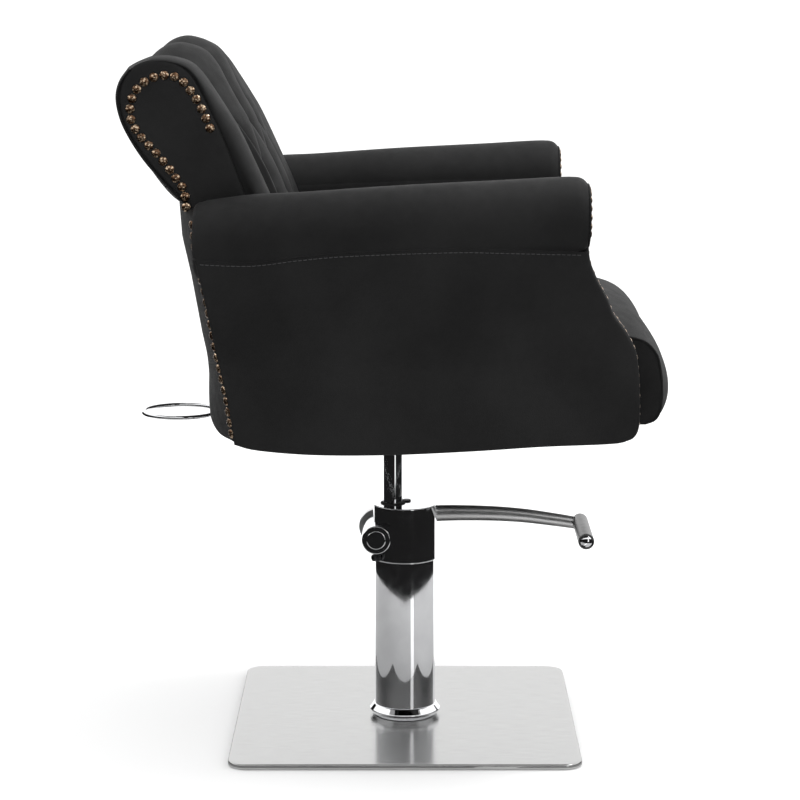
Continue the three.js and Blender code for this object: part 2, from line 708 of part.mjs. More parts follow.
function ringBracket() {
  const block = box(-12, 12, 171, 189, RING_Z - 6, 428.2);
  const flange = box(-24, 24, 171, 189, 425, 428.2);
  const bore = new THREE.CylinderGeometry(RING_WIRE + 0.6, RING_WIRE + 0.6, 60, 12).translate(0, 214, RING_Z);
  return cut(join(block, flange), bore);
}

add('dryer_ring', dryerRing(), chrome);
add('ring_bracket', ringBracket(), darkSteel);

export default chair;
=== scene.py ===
"""Styling chair: the looks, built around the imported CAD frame.

Shapes are worked out in millimetres in the frame's own axes (-Y is the way the sitter faces, +Z is up), and
turned into metres when a mesh is made.
"""
import math

import bmesh
import bpy
import numpy as np
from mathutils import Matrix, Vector


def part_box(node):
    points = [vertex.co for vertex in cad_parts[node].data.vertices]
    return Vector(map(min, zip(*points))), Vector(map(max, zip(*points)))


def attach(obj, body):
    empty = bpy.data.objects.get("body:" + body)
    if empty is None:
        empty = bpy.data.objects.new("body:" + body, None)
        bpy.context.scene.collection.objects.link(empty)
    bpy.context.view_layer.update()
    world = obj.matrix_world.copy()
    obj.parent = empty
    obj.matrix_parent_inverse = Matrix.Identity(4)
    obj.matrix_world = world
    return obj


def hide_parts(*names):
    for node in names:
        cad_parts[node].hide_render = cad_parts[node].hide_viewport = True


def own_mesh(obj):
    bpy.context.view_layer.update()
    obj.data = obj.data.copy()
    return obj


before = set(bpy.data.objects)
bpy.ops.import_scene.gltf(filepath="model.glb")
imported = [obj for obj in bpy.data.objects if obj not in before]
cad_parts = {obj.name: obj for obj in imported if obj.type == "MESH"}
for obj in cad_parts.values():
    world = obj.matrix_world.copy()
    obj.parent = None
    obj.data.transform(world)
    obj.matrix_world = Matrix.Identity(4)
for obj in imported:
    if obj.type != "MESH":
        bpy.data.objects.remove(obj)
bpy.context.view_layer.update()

MM = 0.001
SIDES = {"right": -1, "left": 1}


# ---------------------------------------------------------------- places, from the frame

def extent(node):
    """Lowest and highest corner of a CAD node, in millimetres."""
    low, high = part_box(node)
    return np.array(low) / MM, np.array(high) / MM


BASE_TOP = extent("base_cover")[1][2]
BASE_HALF = extent("base_cover")[1][0]
COLUMN_RADIUS = extent("reservoir_tube")[1][0]
HEAD_TOP = extent("pump_head")[1][2]
HEAD_RADIUS = -extent("pump_head")[0][1]
HEAD_SHOULDER = 222
RAM_Y = (extent("ram_rod")[0][1] + extent("ram_rod")[1][1]) / 2
RAM_RADIUS = extent("ram_rod")[1][0]
RAM_BOTTOM = extent("ram_rod")[0][2]
RAM_TOP = extent("ram_rod")[1][2]
COLLAR_RADIUS = 12.7
SHAFT_Y = extent("shaft_collar")[0][1] + COLLAR_RADIUS
SHAFT_Z = 254
BOSS_RADIUS = 19
PEDAL_Y = -237
PEDAL_Z = 258
ARM_INSIDE = extent("inner_arm_pad_left")[0][0]
ARM_OUTSIDE = extent("side_cover_left")[1][0]
ROLL_X = 296
ROLL_RADIUS = 46
CUSHION_HALF = extent("seat_cushion")[1][0]
CUSHION_BOTTOM = extent("seat_cushion")[0][2]
BACK_EDGE = extent("scroll_side_left")[1][0]


# ---------------------------------------------------------------- camera, light and floor

def add_camera():
    """Beside the chair, at seat height and a little above, as the photograph was taken."""
    data = bpy.data.cameras.new("photo_camera")
    data.lens = 112.98
    data.sensor_width = 36
    data.shift_x = -0.00625
    camera = bpy.data.objects.new("photo_camera", data)
    bpy.context.scene.collection.objects.link(camera)
    camera.location = (-3.2625, 0, 1.013)
    pitch = math.radians(90 - 10.05)
    camera.rotation_euler = (pitch, 0, math.radians(-90))
    bpy.context.scene.camera = camera


def plain_material(name, colour, roughness=0.9):
    material = bpy.data.materials.new(name)
    material.use_nodes = True
    shader = material.node_tree.nodes["Principled BSDF"]
    shader.inputs["Base Color"].default_value = (*colour, 1)
    shader.inputs["Roughness"].default_value = roughness
    shader.inputs["Specular IOR Level"].default_value = 0
    return material


def add_card(name, corners, faces, colour, seen=False):
    """A stage card. One that isn't seen only shows in the reflections on the chrome."""
    mesh = bpy.data.meshes.new(name)
    mesh.from_pydata(corners, [], faces)
    card = bpy.data.objects.new(name, mesh)
    bpy.context.scene.collection.objects.link(card)
    mesh.materials.append(plain_material(name + "_material", colour))
    if not seen:
        card.visible_camera = False
        card.visible_diffuse = False
        card.visible_shadow = False


def fan(radii, start, end, heights):
    """Corners of a fan of card between two directions, in degrees. Each radius grows away from the
    camera's side."""
    angles = np.radians(np.linspace(start, end, 30))
    spread_out = 1 + 0.15 * np.abs(angles - math.pi) / math.radians(100)
    return [(r * k * math.cos(a), r * k * math.sin(a), z) for r, z in zip(radii, heights)
            for a, k in zip(angles, spread_out)]


def add_reflections():
    """What the chrome sees: a dark studio round the camera's side with one slit of light, the shaded
    part of the white sheet the chair stands on, and a dim ceiling."""
    black, grey = (0.008, 0.008, 0.008), (0.42, 0.42, 0.42)
    add_card("dark_floor", fan((0.68, 1.45), 34, 316, (0.004, 0.004)), grid_faces(2, 30), black)
    for number, (start, end) in enumerate([(34, 201), (212, 316)]):
        surround = fan((1.45, 4.0, 4.0), start, end, (0.004, 0.004, 1.7))
        add_card(f"dark_surround_{number}", surround, grid_faces(3, 30), black)
        sheet = fan((0.2, 0.68), start, end, (0.003, 0.003))
        add_card(f"shaded_sheet_{number}", sheet, grid_faces(2, 30), grey)
    ceiling = [(-3, -2.5, 3.2), (2, -2.5, 3.2), (2, 2.5, 3.2), (-3, 2.5, 3.2)]
    add_card("ceiling", ceiling, [(0, 1, 2, 3)], (0.25, 0.25, 0.25))


def add_light(name, location, target, size, power):
    data = bpy.data.lights.new(name, "AREA")
    data.shape = "RECTANGLE"
    data.size = size[0]
    data.size_y = size[1]
    data.energy = power
    light = bpy.data.objects.new(name, data)
    bpy.context.scene.collection.objects.link(light)
    light.location = location
    direction = Vector(target) - Vector(location)
    light.rotation_euler = direction.to_track_quat("-Z", "Y").to_euler()


def add_studio():
    world = bpy.data.worlds.new("studio")
    bpy.context.scene.world = world
    world.use_nodes = True
    background = world.node_tree.nodes["Background"]
    background.inputs["Color"].default_value = (1, 1, 1, 1)
    background.inputs["Strength"].default_value = 1.35
    bpy.context.scene.view_settings.view_transform = "Standard"
    far = 30
    corners = [(-far, -far, 0), (far, -far, 0), (far, far, 0), (-far, far, 0)]
    add_card("floor", corners, [(0, 1, 2, 3)], (0.93, 0.93, 0.93), True)
    add_reflections()
    add_light("top_light", (0.2, -1.0, 2.9), (0, 0, 0.6), (1.8, 1.2), 42)


# ---------------------------------------------------------------- materials

def new_material(name, metallic=0.0, roughness=0.5):
    material = bpy.data.materials.new(name)
    material.use_nodes = True
    tree = material.node_tree
    shader = tree.nodes["Principled BSDF"]
    shader.inputs["Metallic"].default_value = metallic
    shader.inputs["Roughness"].default_value = roughness
    place = tree.nodes.new("ShaderNodeTexCoord")
    return material, tree, shader, place.outputs["Object"]


def add_noise(tree, place, scale, detail=3.0, stretch=(1, 1, 1)):
    mapping = tree.nodes.new("ShaderNodeMapping")
    mapping.inputs["Scale"].default_value = stretch
    tree.links.new(place, mapping.inputs["Vector"])
    noise = tree.nodes.new("ShaderNodeTexNoise")
    noise.inputs["Scale"].default_value = scale
    noise.inputs["Detail"].default_value = detail
    tree.links.new(mapping.outputs["Vector"], noise.inputs["Vector"])
    return noise.outputs["Fac"]


def add_cells(tree, place, scale):
    cells = tree.nodes.new("ShaderNodeTexVoronoi")
    cells.feature = "F1"
    cells.inputs["Scale"].default_value = scale
    tree.links.new(place, cells.inputs["Vector"])
    return cells.outputs["Distance"]


def spread(tree, value, low, high, from_low=0.3, from_high=0.7):
    """Maps a texture value to the range from low to high."""
    node = tree.nodes.new("ShaderNodeMapRange")
    node.inputs["From Min"].default_value = from_low
    node.inputs["From Max"].default_value = from_high
    node.inputs["To Min"].default_value = low
    node.inputs["To Max"].default_value = high
    tree.links.new(value, node.inputs["Value"])
    return node.outputs["Result"]


def roughen(tree, shader, value, low, high):
    """Lets a texture value set the roughness."""
    tree.links.new(spread(tree, value, low, high), shader.inputs["Roughness"])


def paint(tree, shader, value, dark, light):
    """Lets a texture value set the colour, between two colours."""
    ramp = tree.nodes.new("ShaderNodeValToRGB")
    ramp.color_ramp.elements[0].position = 0.35
    ramp.color_ramp.elements[0].color = (*dark, 1)
    ramp.color_ramp.elements[1].position = 0.65
    ramp.color_ramp.elements[1].color = (*light, 1)
    tree.links.new(value, ramp.inputs["Fac"])
    tree.links.new(ramp.outputs["Color"], shader.inputs["Base Color"])


def add_bump(tree, shader, layers):
    """Stacks bump layers, each a (height, distance in metres, strength)."""
    normal = None
    for height, distance, strength in layers:
        bump = tree.nodes.new("ShaderNodeBump")
        bump.inputs["Distance"].default_value = distance
        bump.inputs["Strength"].default_value = strength
        tree.links.new(height, bump.inputs["Height"])
        if normal is not None:
            tree.links.new(normal, bump.inputs["Normal"])
        normal = bump.outputs["Normal"]
    tree.links.new(normal, shader.inputs["Normal"])


def leather_material():
    """Matt black coated fabric: fine pebbled grain, faint waviness and a slightly uneven finish."""
    material, tree, shader, place = new_material("black_leather")
    tone = add_noise(tree, place, 9, 4)
    paint(tree, shader, tone, (0.0058, 0.0058, 0.0060), (0.0088, 0.0088, 0.0090))
    roughen(tree, shader, add_noise(tree, place, 60, 4), 0.66, 0.76)
    shader.inputs["Specular IOR Level"].default_value = 0.26
    grain = add_cells(tree, place, 1100)
    fine = add_noise(tree, place, 2600, 2)
    waves = add_noise(tree, place, 28, 2)
    add_bump(tree, shader, [(waves, 0.0012, 0.25), (grain, 0.0003, 0.28), (fine, 0.0001, 0.2)])
    return material


def thread_material():
    material, tree, shader, place = new_material("black_thread", roughness=0.6)
    twist = add_noise(tree, place, 1500, 2)
    paint(tree, shader, twist, (0.02, 0.02, 0.021), (0.05, 0.05, 0.052))
    add_bump(tree, shader, [(twist, 0.0003, 0.5)])
    return material


def chrome_material():
    material, tree, shader, place = new_material("polished_chrome", metallic=1.0)
    wear = add_noise(tree, place, 40, 5)
    paint(tree, shader, wear, (0.78, 0.785, 0.80), (0.84, 0.845, 0.86))
    roughen(tree, shader, add_noise(tree, place, 90, 5), 0.035, 0.075)
    add_bump(tree, shader, [(add_noise(tree, place, 14, 1), 0.0006, 0.10)])
    return material


def dull_chrome_material(name, dark, light, roughness):
    """Chrome gone matt with wear, between two greys."""
    material, tree, shader, place = new_material(name, metallic=1.0)
    marks = add_noise(tree, place, 150, 4)
    paint(tree, shader, marks, (dark,) * 3, (light,) * 3)
    roughen(tree, shader, marks, roughness - 0.02, roughness + 0.02)
    add_bump(tree, shader, [(add_noise(tree, place, 800, 2), 0.0002, 0.2)])
    return material


def brushed_material():
    """Stainless sheet brushed along Y."""
    material, tree, shader, place = new_material("brushed_stainless", metallic=1.0)
    lines = add_noise(tree, place, 60, 6, (30, 0.6, 30))
    paint(tree, shader, lines, (0.40, 0.40, 0.398), (0.49, 0.49, 0.487))
    roughen(tree, shader, lines, 0.16, 0.23)
    shader.inputs["Anisotropic"].default_value = 0.6
    tangent = tree.nodes.new("ShaderNodeTangent")
    tangent.direction_type = "RADIAL"
    tangent.axis = "Y"
    tree.links.new(tangent.outputs["Tangent"], shader.inputs["Tangent"])
    add_bump(tree, shader, [(lines, 0.0001, 0.35), (add_noise(tree, place, 5, 2), 0.002, 0.05)])
    return material


def brass_material():
    """Antique brass nails: bright where rubbed, brown in the hammer marks."""
    material, tree, shader, place = new_material("antique_brass", metallic=1.0)
    marks = add_cells(tree, place, 400)
    worn = spread(tree, marks, 0.0, 1.0, 0.15, 0.75)
    paint(tree, shader, worn, (0.80, 0.62, 0.44), (0.17, 0.095, 0.055))
    roughen(tree, shader, add_noise(tree, place, 400, 3), 0.24, 0.45)
    add_bump(tree, shader, [(marks, 0.0008, 0.7), (add_noise(tree, place, 900, 3), 0.0003, 0.4)])
    return material


def dark_steel_material():
    material, tree, shader, place = new_material("black_steel", metallic=0.85)
    marks = add_noise(tree, place, 120, 4)
    paint(tree, shader, marks, (0.02, 0.02, 0.021), (0.05, 0.05, 0.052))
    roughen(tree, shader, marks, 0.32, 0.5)
    add_bump(tree, shader, [(add_noise(tree, place, 700, 2), 0.0002, 0.2)])
    return material


def rubber_material():
    material, tree, shader, place = new_material("black_rubber")
    dust = add_noise(tree, place, 70, 5)
    paint(tree, shader, dust, (0.012, 0.012, 0.012), (0.03, 0.03, 0.029))
    roughen(tree, shader, dust, 0.7, 0.9)
    add_bump(tree, shader, [(add_noise(tree, place, 900, 2), 0.0003, 0.4)])
    return material


def wood_material():
    material, tree, shader, place = new_material("black_stained_plywood")
    grain = add_noise(tree, place, 14, 6, (8, 1, 8))
    paint(tree, shader, grain, (0.012, 0.011, 0.010), (0.030, 0.027, 0.024))
    roughen(tree, shader, grain, 0.55, 0.75)
    add_bump(tree, shader, [(grain, 0.0006, 0.4)])
    return material


def cloth_material():
    """Black non-woven cloth under the seat."""
    material, tree, shader, place = new_material("black_underside_cloth")
    fibres = add_noise(tree, place, 420, 6, (1, 3, 1))
    paint(tree, shader, fibres, (0.008, 0.008, 0.008), (0.03, 0.03, 0.03))
    roughen(tree, shader, fibres, 0.8, 0.95)
    add_bump(tree, shader, [(fibres, 0.0005, 0.6)])
    return material


LEATHER = leather_material()
THREAD = thread_material()
CHROME = chrome_material()
GRIP_CHROME = dull_chrome_material("grip_chrome", 0.16, 0.24, 0.40)
LEVER_CHROME = dull_chrome_material("lever_chrome", 0.68, 0.72, 0.30)
BRUSHED = brushed_material()
BRASS = brass_material()
DARK_STEEL = dark_steel_material()
RUBBER = rubber_material()
WOOD = wood_material()
CLOTH = cloth_material()


# ---------------------------------------------------------------- mesh helpers

def make_mesh(name, points, faces, material, crease=38):
    """A closed mesh from points in millimetres, smooth except at edges sharper than crease degrees."""
    mesh = bpy.data.meshes.new(name)
    mesh.from_pydata([tuple(p) for p in np.asarray(points, float) * MM], [], faces)
    work = bmesh.new()
    work.from_mesh(mesh)
    bmesh.ops.remove_doubles(work, verts=work.verts, dist=1e-6)
    bmesh.ops.dissolve_degenerate(work, dist=1e-7, edges=work.edges)
    bmesh.ops.recalc_face_normals(work, faces=work.faces)
    work.to_mesh(mesh)
    work.free()
    mesh.shade_smooth()
    mesh.set_sharp_from_angle(angle=math.radians(crease))
    mesh.materials.append(material)
    obj = bpy.data.objects.new(name, mesh)
    bpy.context.scene.collection.objects.link(obj)
    return obj


def fit(obj, body, slot, *nodes):
    """Fixes a piece to its CAD body and hides the CAD nodes that it replaces. The slot argument is not
    used.
    """
    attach(obj, body)
    if nodes:
        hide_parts(*nodes)
    return obj


def smooth_line(points, count):
    """Points evenly spaced along a smooth line through the given ones."""
    keys = np.asarray(points, float)
    keys = np.vstack([2 * keys[0] - keys[1], keys, 2 * keys[-1] - keys[-2]])
    dense = []
    for p0, p1, p2, p3 in zip(keys, keys[1:], keys[2:], keys[3:]):
        for t in np.linspace(0, 1, 24, endpoint=False):
            dense.append(0.5 * (2 * p1 + (p2 - p0) * t + (2 * p0 - 5 * p1 + 4 * p2 - p3) * t ** 2
                                + (3 * p1 - p0 - 3 * p2 + p3) * t ** 3))
    dense.append(keys[-2])
    return resample(np.array(dense), count)


def resample(line, count):
    """Points evenly spaced along a line, from its first to its last."""
    steps = np.linalg.norm(np.diff(line, axis=0), axis=1)
    length = np.concatenate([[0], np.cumsum(steps)])
    wanted = np.linspace(0, length[-1], count)
    return np.column_stack([np.interp(wanted, length, line[:, i]) for i in range(line.shape[1])])


def line_length(line):
    return float(np.linalg.norm(np.diff(line, axis=0), axis=1).sum())


def outward_normals(line):
    """Unit normals to the left of a (Y, Z) line."""
    tangent = np.gradient(line, axis=0)
    tangent /= np.linalg.norm(tangent, axis=1)[:, None]
    return np.column_stack([-tangent[:, 1], tangent[:, 0]])


def grid_faces(rows, cols, first=0, wrap=False):
    faces = []
    for i in range(rows - 1):
        for j in range(cols if wrap else cols - 1):
            k = (j + 1) % cols
            faces.append((first + i * cols + j, first + (i + 1) * cols + j,
                          first + (i + 1) * cols + k, first + i * cols + k))
    return faces


def slab(name, front, back, material, crease=38):
    """A closed solid between two grids of points with the same rows and columns."""
    rows, cols = front.shape[:2]
    points = np.vstack([front.reshape(-1, 3), back.reshape(-1, 3)])
    other = rows * cols
    faces = grid_faces(rows, cols)
    faces += [face[::-1] for face in grid_faces(rows, cols, other)]
    rim = [j for j in range(cols)]
    rim += [i * cols + cols - 1 for i in range(1, rows)]
    rim += [(rows - 1) * cols + j for j in range(cols - 2, -1, -1)]
    rim += [i * cols for i in range(rows - 2, 0, -1)]
    for a, b in zip(rim, rim[1:] + rim[:1]):
        faces.append((a, b, other + b, other + a))
    return make_mesh(name, points, faces, material, crease)


def rings_solid(name, rings, material, crease=38):
    """A closed solid skinned over a list of rings, with a pole at each end."""
    rings = np.asarray(rings, float)
    rows, cols = rings.shape[:2]
    points = np.vstack([rings.reshape(-1, 3), rings[0].mean(axis=0), rings[-1].mean(axis=0)])
    faces = grid_faces(rows, cols, wrap=True)
    start, end = rows * cols, rows * cols + 1
    last = (rows - 1) * cols
    for j in range(cols):
        k = (j + 1) % cols
        faces.append((start, j, k))
        faces.append((end, last + k, last + j))
    return make_mesh(name, points, faces, material, crease)


def path_frames(path, closed=False):
    """A side and an up direction at each point of a path, turning as little as they can."""
    ahead = np.roll(path, -1, axis=0) - np.roll(path, 1, axis=0)
    if not closed:
        ahead[0] = path[1] - path[0]
        ahead[-1] = path[-1] - path[-2]
    ahead /= np.linalg.norm(ahead, axis=1)[:, None]
    side = np.cross(ahead[0], (0, 0, 1))
    if np.linalg.norm(side) < 0.1:
        side = np.cross(ahead[0], (1, 0, 0))
    sides = []
    for direction in ahead:
        side = side - direction * np.dot(side, direction)
        side = side / np.linalg.norm(side)
        sides.append(side)
    sides = np.array(sides)
    return sides, np.cross(sides, ahead), ahead


def tube_rings(path, width, height=None, sides=12, closed=False):
    """Oval rings round a path. Width and height are half sizes, one number or one for each point."""
    height = width if height is None else height
    width = np.broadcast_to(width, len(path))
    height = np.broadcast_to(height, len(path))
    side, up, _ = path_frames(path, closed)
    angles = np.linspace(0, 2 * math.pi, sides, endpoint=False)
    return [
        path[i] + np.outer(np.cos(angles), side[i]) * width[i] + np.outer(np.sin(angles), up[i]) * height[i]
        for i in range(len(path))
    ]


def tube(name, path, radius, material, sides=12):
    return rings_solid(name, tube_rings(np.asarray(path, float), radius, sides=sides), material)


def closed_tube(name, path, radius, material, sides=12):
    rings = np.array(tube_rings(np.asarray(path, float), radius, sides=sides, closed=True))
    rings = np.vstack([rings, rings[:1]])
    return make_mesh(name, rings.reshape(-1, 3), grid_faces(len(rings), sides, wrap=True), material)


def fillet(profile, radius, steps=4):
    """Rounds the corners inside a profile of (radius, height) points, and keeps the runs between them
    flat."""
    profile = np.asarray(profile, float)
    rounded = [profile[0]]
    for before, corner, after in zip(profile, profile[1:], profile[2:]):
        to_before, to_after = before - corner, after - corner
        reach = min(radius, 0.3 * np.linalg.norm(to_before), 0.3 * np.linalg.norm(to_after))
        to_before /= np.linalg.norm(to_before)
        to_after /= np.linalg.norm(to_after)
        rounded.append(corner + to_before * reach * 1.3)
        start = corner + to_before * reach
        end = corner + to_after * reach
        for t in np.linspace(0, 1, steps + 1):
            rounded.append((1 - t) ** 2 * start + 2 * t * (1 - t) * corner + t ** 2 * end)
        rounded.append(corner + to_after * reach * 1.3)
    rounded.append(profile[-1])
    return np.array(rounded)


def turned(name, profile, centre, material, axis="Z", sides=96, crease=38):
    """A turned solid. The profile of (radius, height) points starts and ends on the axis."""
    angles = np.linspace(0, 2 * math.pi, sides, endpoint=False)
    rings = []
    for radius, height in profile[1:-1]:
        a, b = radius * np.cos(angles), radius * np.sin(angles)
        h = np.full(sides, height)
        local = {"Z": (a, b, h), "X": (h, a, b), "Y": (b, h, a)}[axis]
        rings.append(np.column_stack(local) + centre)
    return rings_solid(name, rings, material, crease)


def bake(obj):
    """Applies the modifiers on an object."""
    graph = bpy.context.evaluated_depsgraph_get()
    mesh = bpy.data.meshes.new_from_object(obj.evaluated_get(graph))
    obj.modifiers.clear()
    obj.data = mesh
    return obj


def combine(obj, other, operation):
    """Joins or cuts two solids, and removes the second."""
    modifier = obj.modifiers.new("combine", "BOOLEAN")
    modifier.operation = operation
    modifier.object = other
    bake(obj)
    bpy.data.objects.remove(other)
    return obj


def merge_objects(name, objects):
    """One mesh from many small separate solids, such as a row of nails."""
    points, faces = [], []
    for obj in objects:
        first = len(points)
        points += [v.co / MM for v in obj.data.vertices]
        faces += [[first + i for i in face.vertices] for face in obj.data.polygons]
    material = objects[0].data.materials[0]
    for obj in objects:
        bpy.data.objects.remove(obj)
    return make_mesh(name, points, faces, material)


def coons(bottom, top, rear, front, us, vs):
    """A patch filled in between four (Y, Z) border lines. u runs from rear to front, and v from bottom
    to top."""
    def at(line, t):
        position = np.clip(t, 0, 1) * (len(line) - 1)
        low = np.minimum(position.astype(int), len(line) - 2)
        share = (position - low)[:, None]
        return line[low] * (1 - share) + line[low + 1] * share

    b, t = at(bottom, us), at(top, us)
    r, f = at(rear, vs), at(front, vs)
    u = us[None, :, None]
    v = vs[:, None, None]
    across = (1 - v) * b[None] + v * t[None] + (1 - u) * r[:, None] + u * f[:, None]
    corners = ((1 - u) * (1 - v) * bottom[0] + u * (1 - v) * bottom[-1]
               + (1 - u) * v * top[0] + u * v * top[-1])
    return across - corners


def crowded(count, edge, steps=6):
    """Values from 0 to 1, close together within edge of both ends, for a rounded border."""
    near = edge * (1 - np.cos(np.linspace(0, math.pi / 2, steps, endpoint=False)))
    return np.concatenate([near, np.linspace(edge, 1 - edge, count), (1 - near)[::-1]])


def rounding(us, vs, length_u, length_v, radius):
    """How far a padded patch stands up, from 0 at its border to 1 beyond the rounded edge."""
    du = np.minimum(us, 1 - us)[None, :] * length_u
    dv = np.minimum(vs, 1 - vs)[:, None] * length_v
    inset = np.clip(np.minimum(du, dv) / radius, 0, 1)
    return np.sqrt(1 - (1 - inset) ** 2)


def smoothstep(value, low, high):
    t = np.clip((value - low) / (high - low), 0, 1)
    return t * t * (3 - 2 * t)


# ---------------------------------------------------------------- nails, stitches and welts

def nail(centre, outward, radius, seed):
    """A domed, hammered nail head."""
    outward = np.asarray(outward, float) / np.linalg.norm(outward)
    side = np.cross(outward, (0.31, 0.17, 0.93))
    side /= np.linalg.norm(side)
    up = np.cross(outward, side)
    sides = 12
    angles = np.linspace(0, 2 * math.pi, sides, endpoint=False) + seed
    rings = []
    for share, height in [(0.86, -1.2), (1.0, -0.3), (1.0, 0.1), (0.86, 0.95), (0.62, 1.6), (0.32, 2.0)]:
        dents = 1 + 0.05 * np.sin(angles * 5 + seed * 3 + height * 2)
        reach = radius * share * dents
        ring = np.outer(np.cos(angles) * reach, side) + np.outer(np.sin(angles) * reach, up)
        rings.append(ring + centre + outward * height)
    return rings_solid("nail", rings, BRASS, 60)


def nail_row(name, places, outwards, radius=5.6):
    pairs = enumerate(zip(places, outwards))
    nails = [nail(place, outward, radius, 0.7 * i) for i, (place, outward) in pairs]
    return fit(merge_objects(name, nails), "seat", "antique_brass")


def stitch_row(name, path, outward, length=4.2, pitch=6.0, radius=0.55):
    """Separate short stitches lying along a path."""
    path = np.asarray(path, float)
    count = max(2, int(line_length(path) / pitch))
    middles = resample(path, count)
    _, _, ahead = path_frames(middles)
    stitches = []
    for middle, direction in zip(middles, ahead):
        ends = np.array([middle + direction * s * length / 2 for s in (-1, -0.6, 0, 0.6, 1)])
        lift = np.array([-0.3, 0.25, 0.45, 0.25, -0.3])
        stitches.append(tube("stitch", ends + np.outer(lift, outward), radius, THREAD, sides=6))
    return fit(merge_objects(name, stitches), "seat", "cover_leather")


# ---------------------------------------------------------------- base and pump

def rounded_square(half, corner, count=12):
    points = []
    for i in range(4):
        middle = math.pi / 2 * i
        cx = (half - corner) * (1 if i in (0, 3) else -1)
        cy = (half - corner) * (1 if i in (0, 1) else -1)
        for angle in np.linspace(middle, middle + math.pi / 2, count):
            points.append((cx + corner * math.cos(angle), cy + corner * math.sin(angle)))
    return np.array(points)


def build_base():
    """The brushed cover with its folded, rounded edge."""
    rings = []
    for inset, height in [(1.2, 1.0), (0, 1.2), (0, BASE_TOP - 2.0), (0.35, BASE_TOP - 0.9),
                          (1.1, BASE_TOP - 0.25), (2.2, BASE_TOP), (6, BASE_TOP)]:
        outline = rounded_square(BASE_HALF - inset, 24 - inset)
        rings.append(np.column_stack([outline, np.full(len(outline), height)]))
    cover = rings_solid("base_cover_sheet", rings, BRUSHED)
    fit(cover, "base", "brushed_cover", "base_cover", "base_plate")


def rod_profile(radius, start, end):
    """The (radius, height) outline of a plain round rod."""
    return [(0, start), (radius, start), (radius, end), (0, end)]


def build_column():
    foot = BASE_TOP + 0.05
    trim = fillet([(0, foot), (42.6, foot), (47.9, foot + 8.2), (41.6, foot + 16), (0, foot + 16)], 1.2)
    fit(turned("foot_trim_ring", trim, (0, 0, 0), CHROME), "base", "polished_chrome", "trim_ring")
    column = fillet(rod_profile(COLUMN_RADIUS, foot + 10, HEAD_SHOULDER), 0.4)
    column_piece = turned("column_tube", column, (0, 0, 0), CHROME, sides=128)
    fit(column_piece, "base", "polished_chrome", "reservoir_tube")


def build_head():
    """The pump head: a sleeve with the cross boss for the pedal's shaft run into its back."""
    sleeve = fillet(rod_profile(HEAD_RADIUS, HEAD_SHOULDER, HEAD_TOP), 1.2)
    head = turned("pump_head_casting", sleeve, (0, 0, 0), CHROME, sides=128)
    shaft_centre = (0, SHAFT_Y, SHAFT_Z)
    boss_profile = fillet(rod_profile(BOSS_RADIUS, -40, 40), 1.2)
    boss = turned("boss", boss_profile, shaft_centre, CHROME, axis="X", sides=64)
    low, high = SHAFT_Z - BOSS_RADIUS, SHAFT_Z + BOSS_RADIUS
    web_outline = np.array([(12, low), (SHAFT_Y, low), (SHAFT_Y, high), (12, high)])
    rings = [np.column_stack([np.full(4, x), web_outline]) for x in (-39.6, 39.6)]
    web = rings_solid("web", rings, CHROME)
    combine(head, boss, "UNION")
    combine(head, web, "UNION")
    recess = turned("recess", rod_profile(13.2, -60, -37), shaft_centre, CHROME, "X", 64)
    combine(head, recess, "DIFFERENCE")
    head.data.shade_smooth()
    head.data.set_sharp_from_angle(angle=math.radians(30))
    fit(head, "base", "polished_chrome", "pump_head")
    lip = [(16.4, HEAD_TOP - 3), (16.4, HEAD_TOP + 1.2), (13.6, HEAD_TOP + 1.6)]
    profile = fillet([(0, HEAD_TOP - 3), *lip, (0, HEAD_TOP + 1.6)], 0.5)
    seal = turned("ram_wiper_seal", profile, (0, RAM_Y, 0), RUBBER)
    fit(seal, "base", "black_rubber", "wiper_seal")


def build_ram():
    profile = rod_profile(RAM_RADIUS, RAM_BOTTOM, RAM_TOP)
    rod = turned("ram_rod_polished", profile, (0, RAM_Y, 0), CHROME)
    fit(rod, "seat", "polished_chrome", "ram_rod")


SCREW_Z = 228.5


def screw_axis():
    angle = math.radians(127)
    return np.array([math.cos(angle), math.sin(angle), 0.0])


def build_stop_screw():
    """Black stop screw with its hexagonal locknut, low on the back of the head."""
    outward = screw_axis()
    across = np.array([-outward[1], outward[0], 0.0])
    up = np.array([0.0, 0.0, 1.0])

    start = np.array([0, 0, SCREW_Z])

    def round_rings(profile, sides):
        angles = np.linspace(0, 2 * math.pi, sides, endpoint=False)
        circle = np.outer(np.cos(angles), across) + np.outer(np.sin(angles), up)
        return [circle * radius + outward * reach + start for radius, reach in profile]

    nut_profile = [(5.0, 42.5), (5.8, 43.2), (5.8, 46.9), (5.0, 47.6)]
    nut = rings_solid("stop_screw_locknut", round_rings(nut_profile, 6), DARK_STEEL, 20)
    fit(nut, "base", "dark_steel", "stop_locknut")
    shank = [(3.0, 36), (3.0, 48.5)]
    cap = [(4.4, 48.7), (4.7, 49.4), (4.7, 52.4), (4.2, 53.1)]
    socket = [(2.4, 53.2), (2.2, 51.2)]
    screw = rings_solid("stop_screw_head", round_rings(shank + cap + socket, 32), DARK_STEEL)
    fit(screw, "base", "dark_steel", "stop_screw")


# ---------------------------------------------------------------- pedal

SPRING_TURNS = 6
LEVER_LINE = [(38, 257), (0, 264.5), (-39, 270), (-100, 270.5), (-155, 267.5), (-205, 261), (-237, 256)]


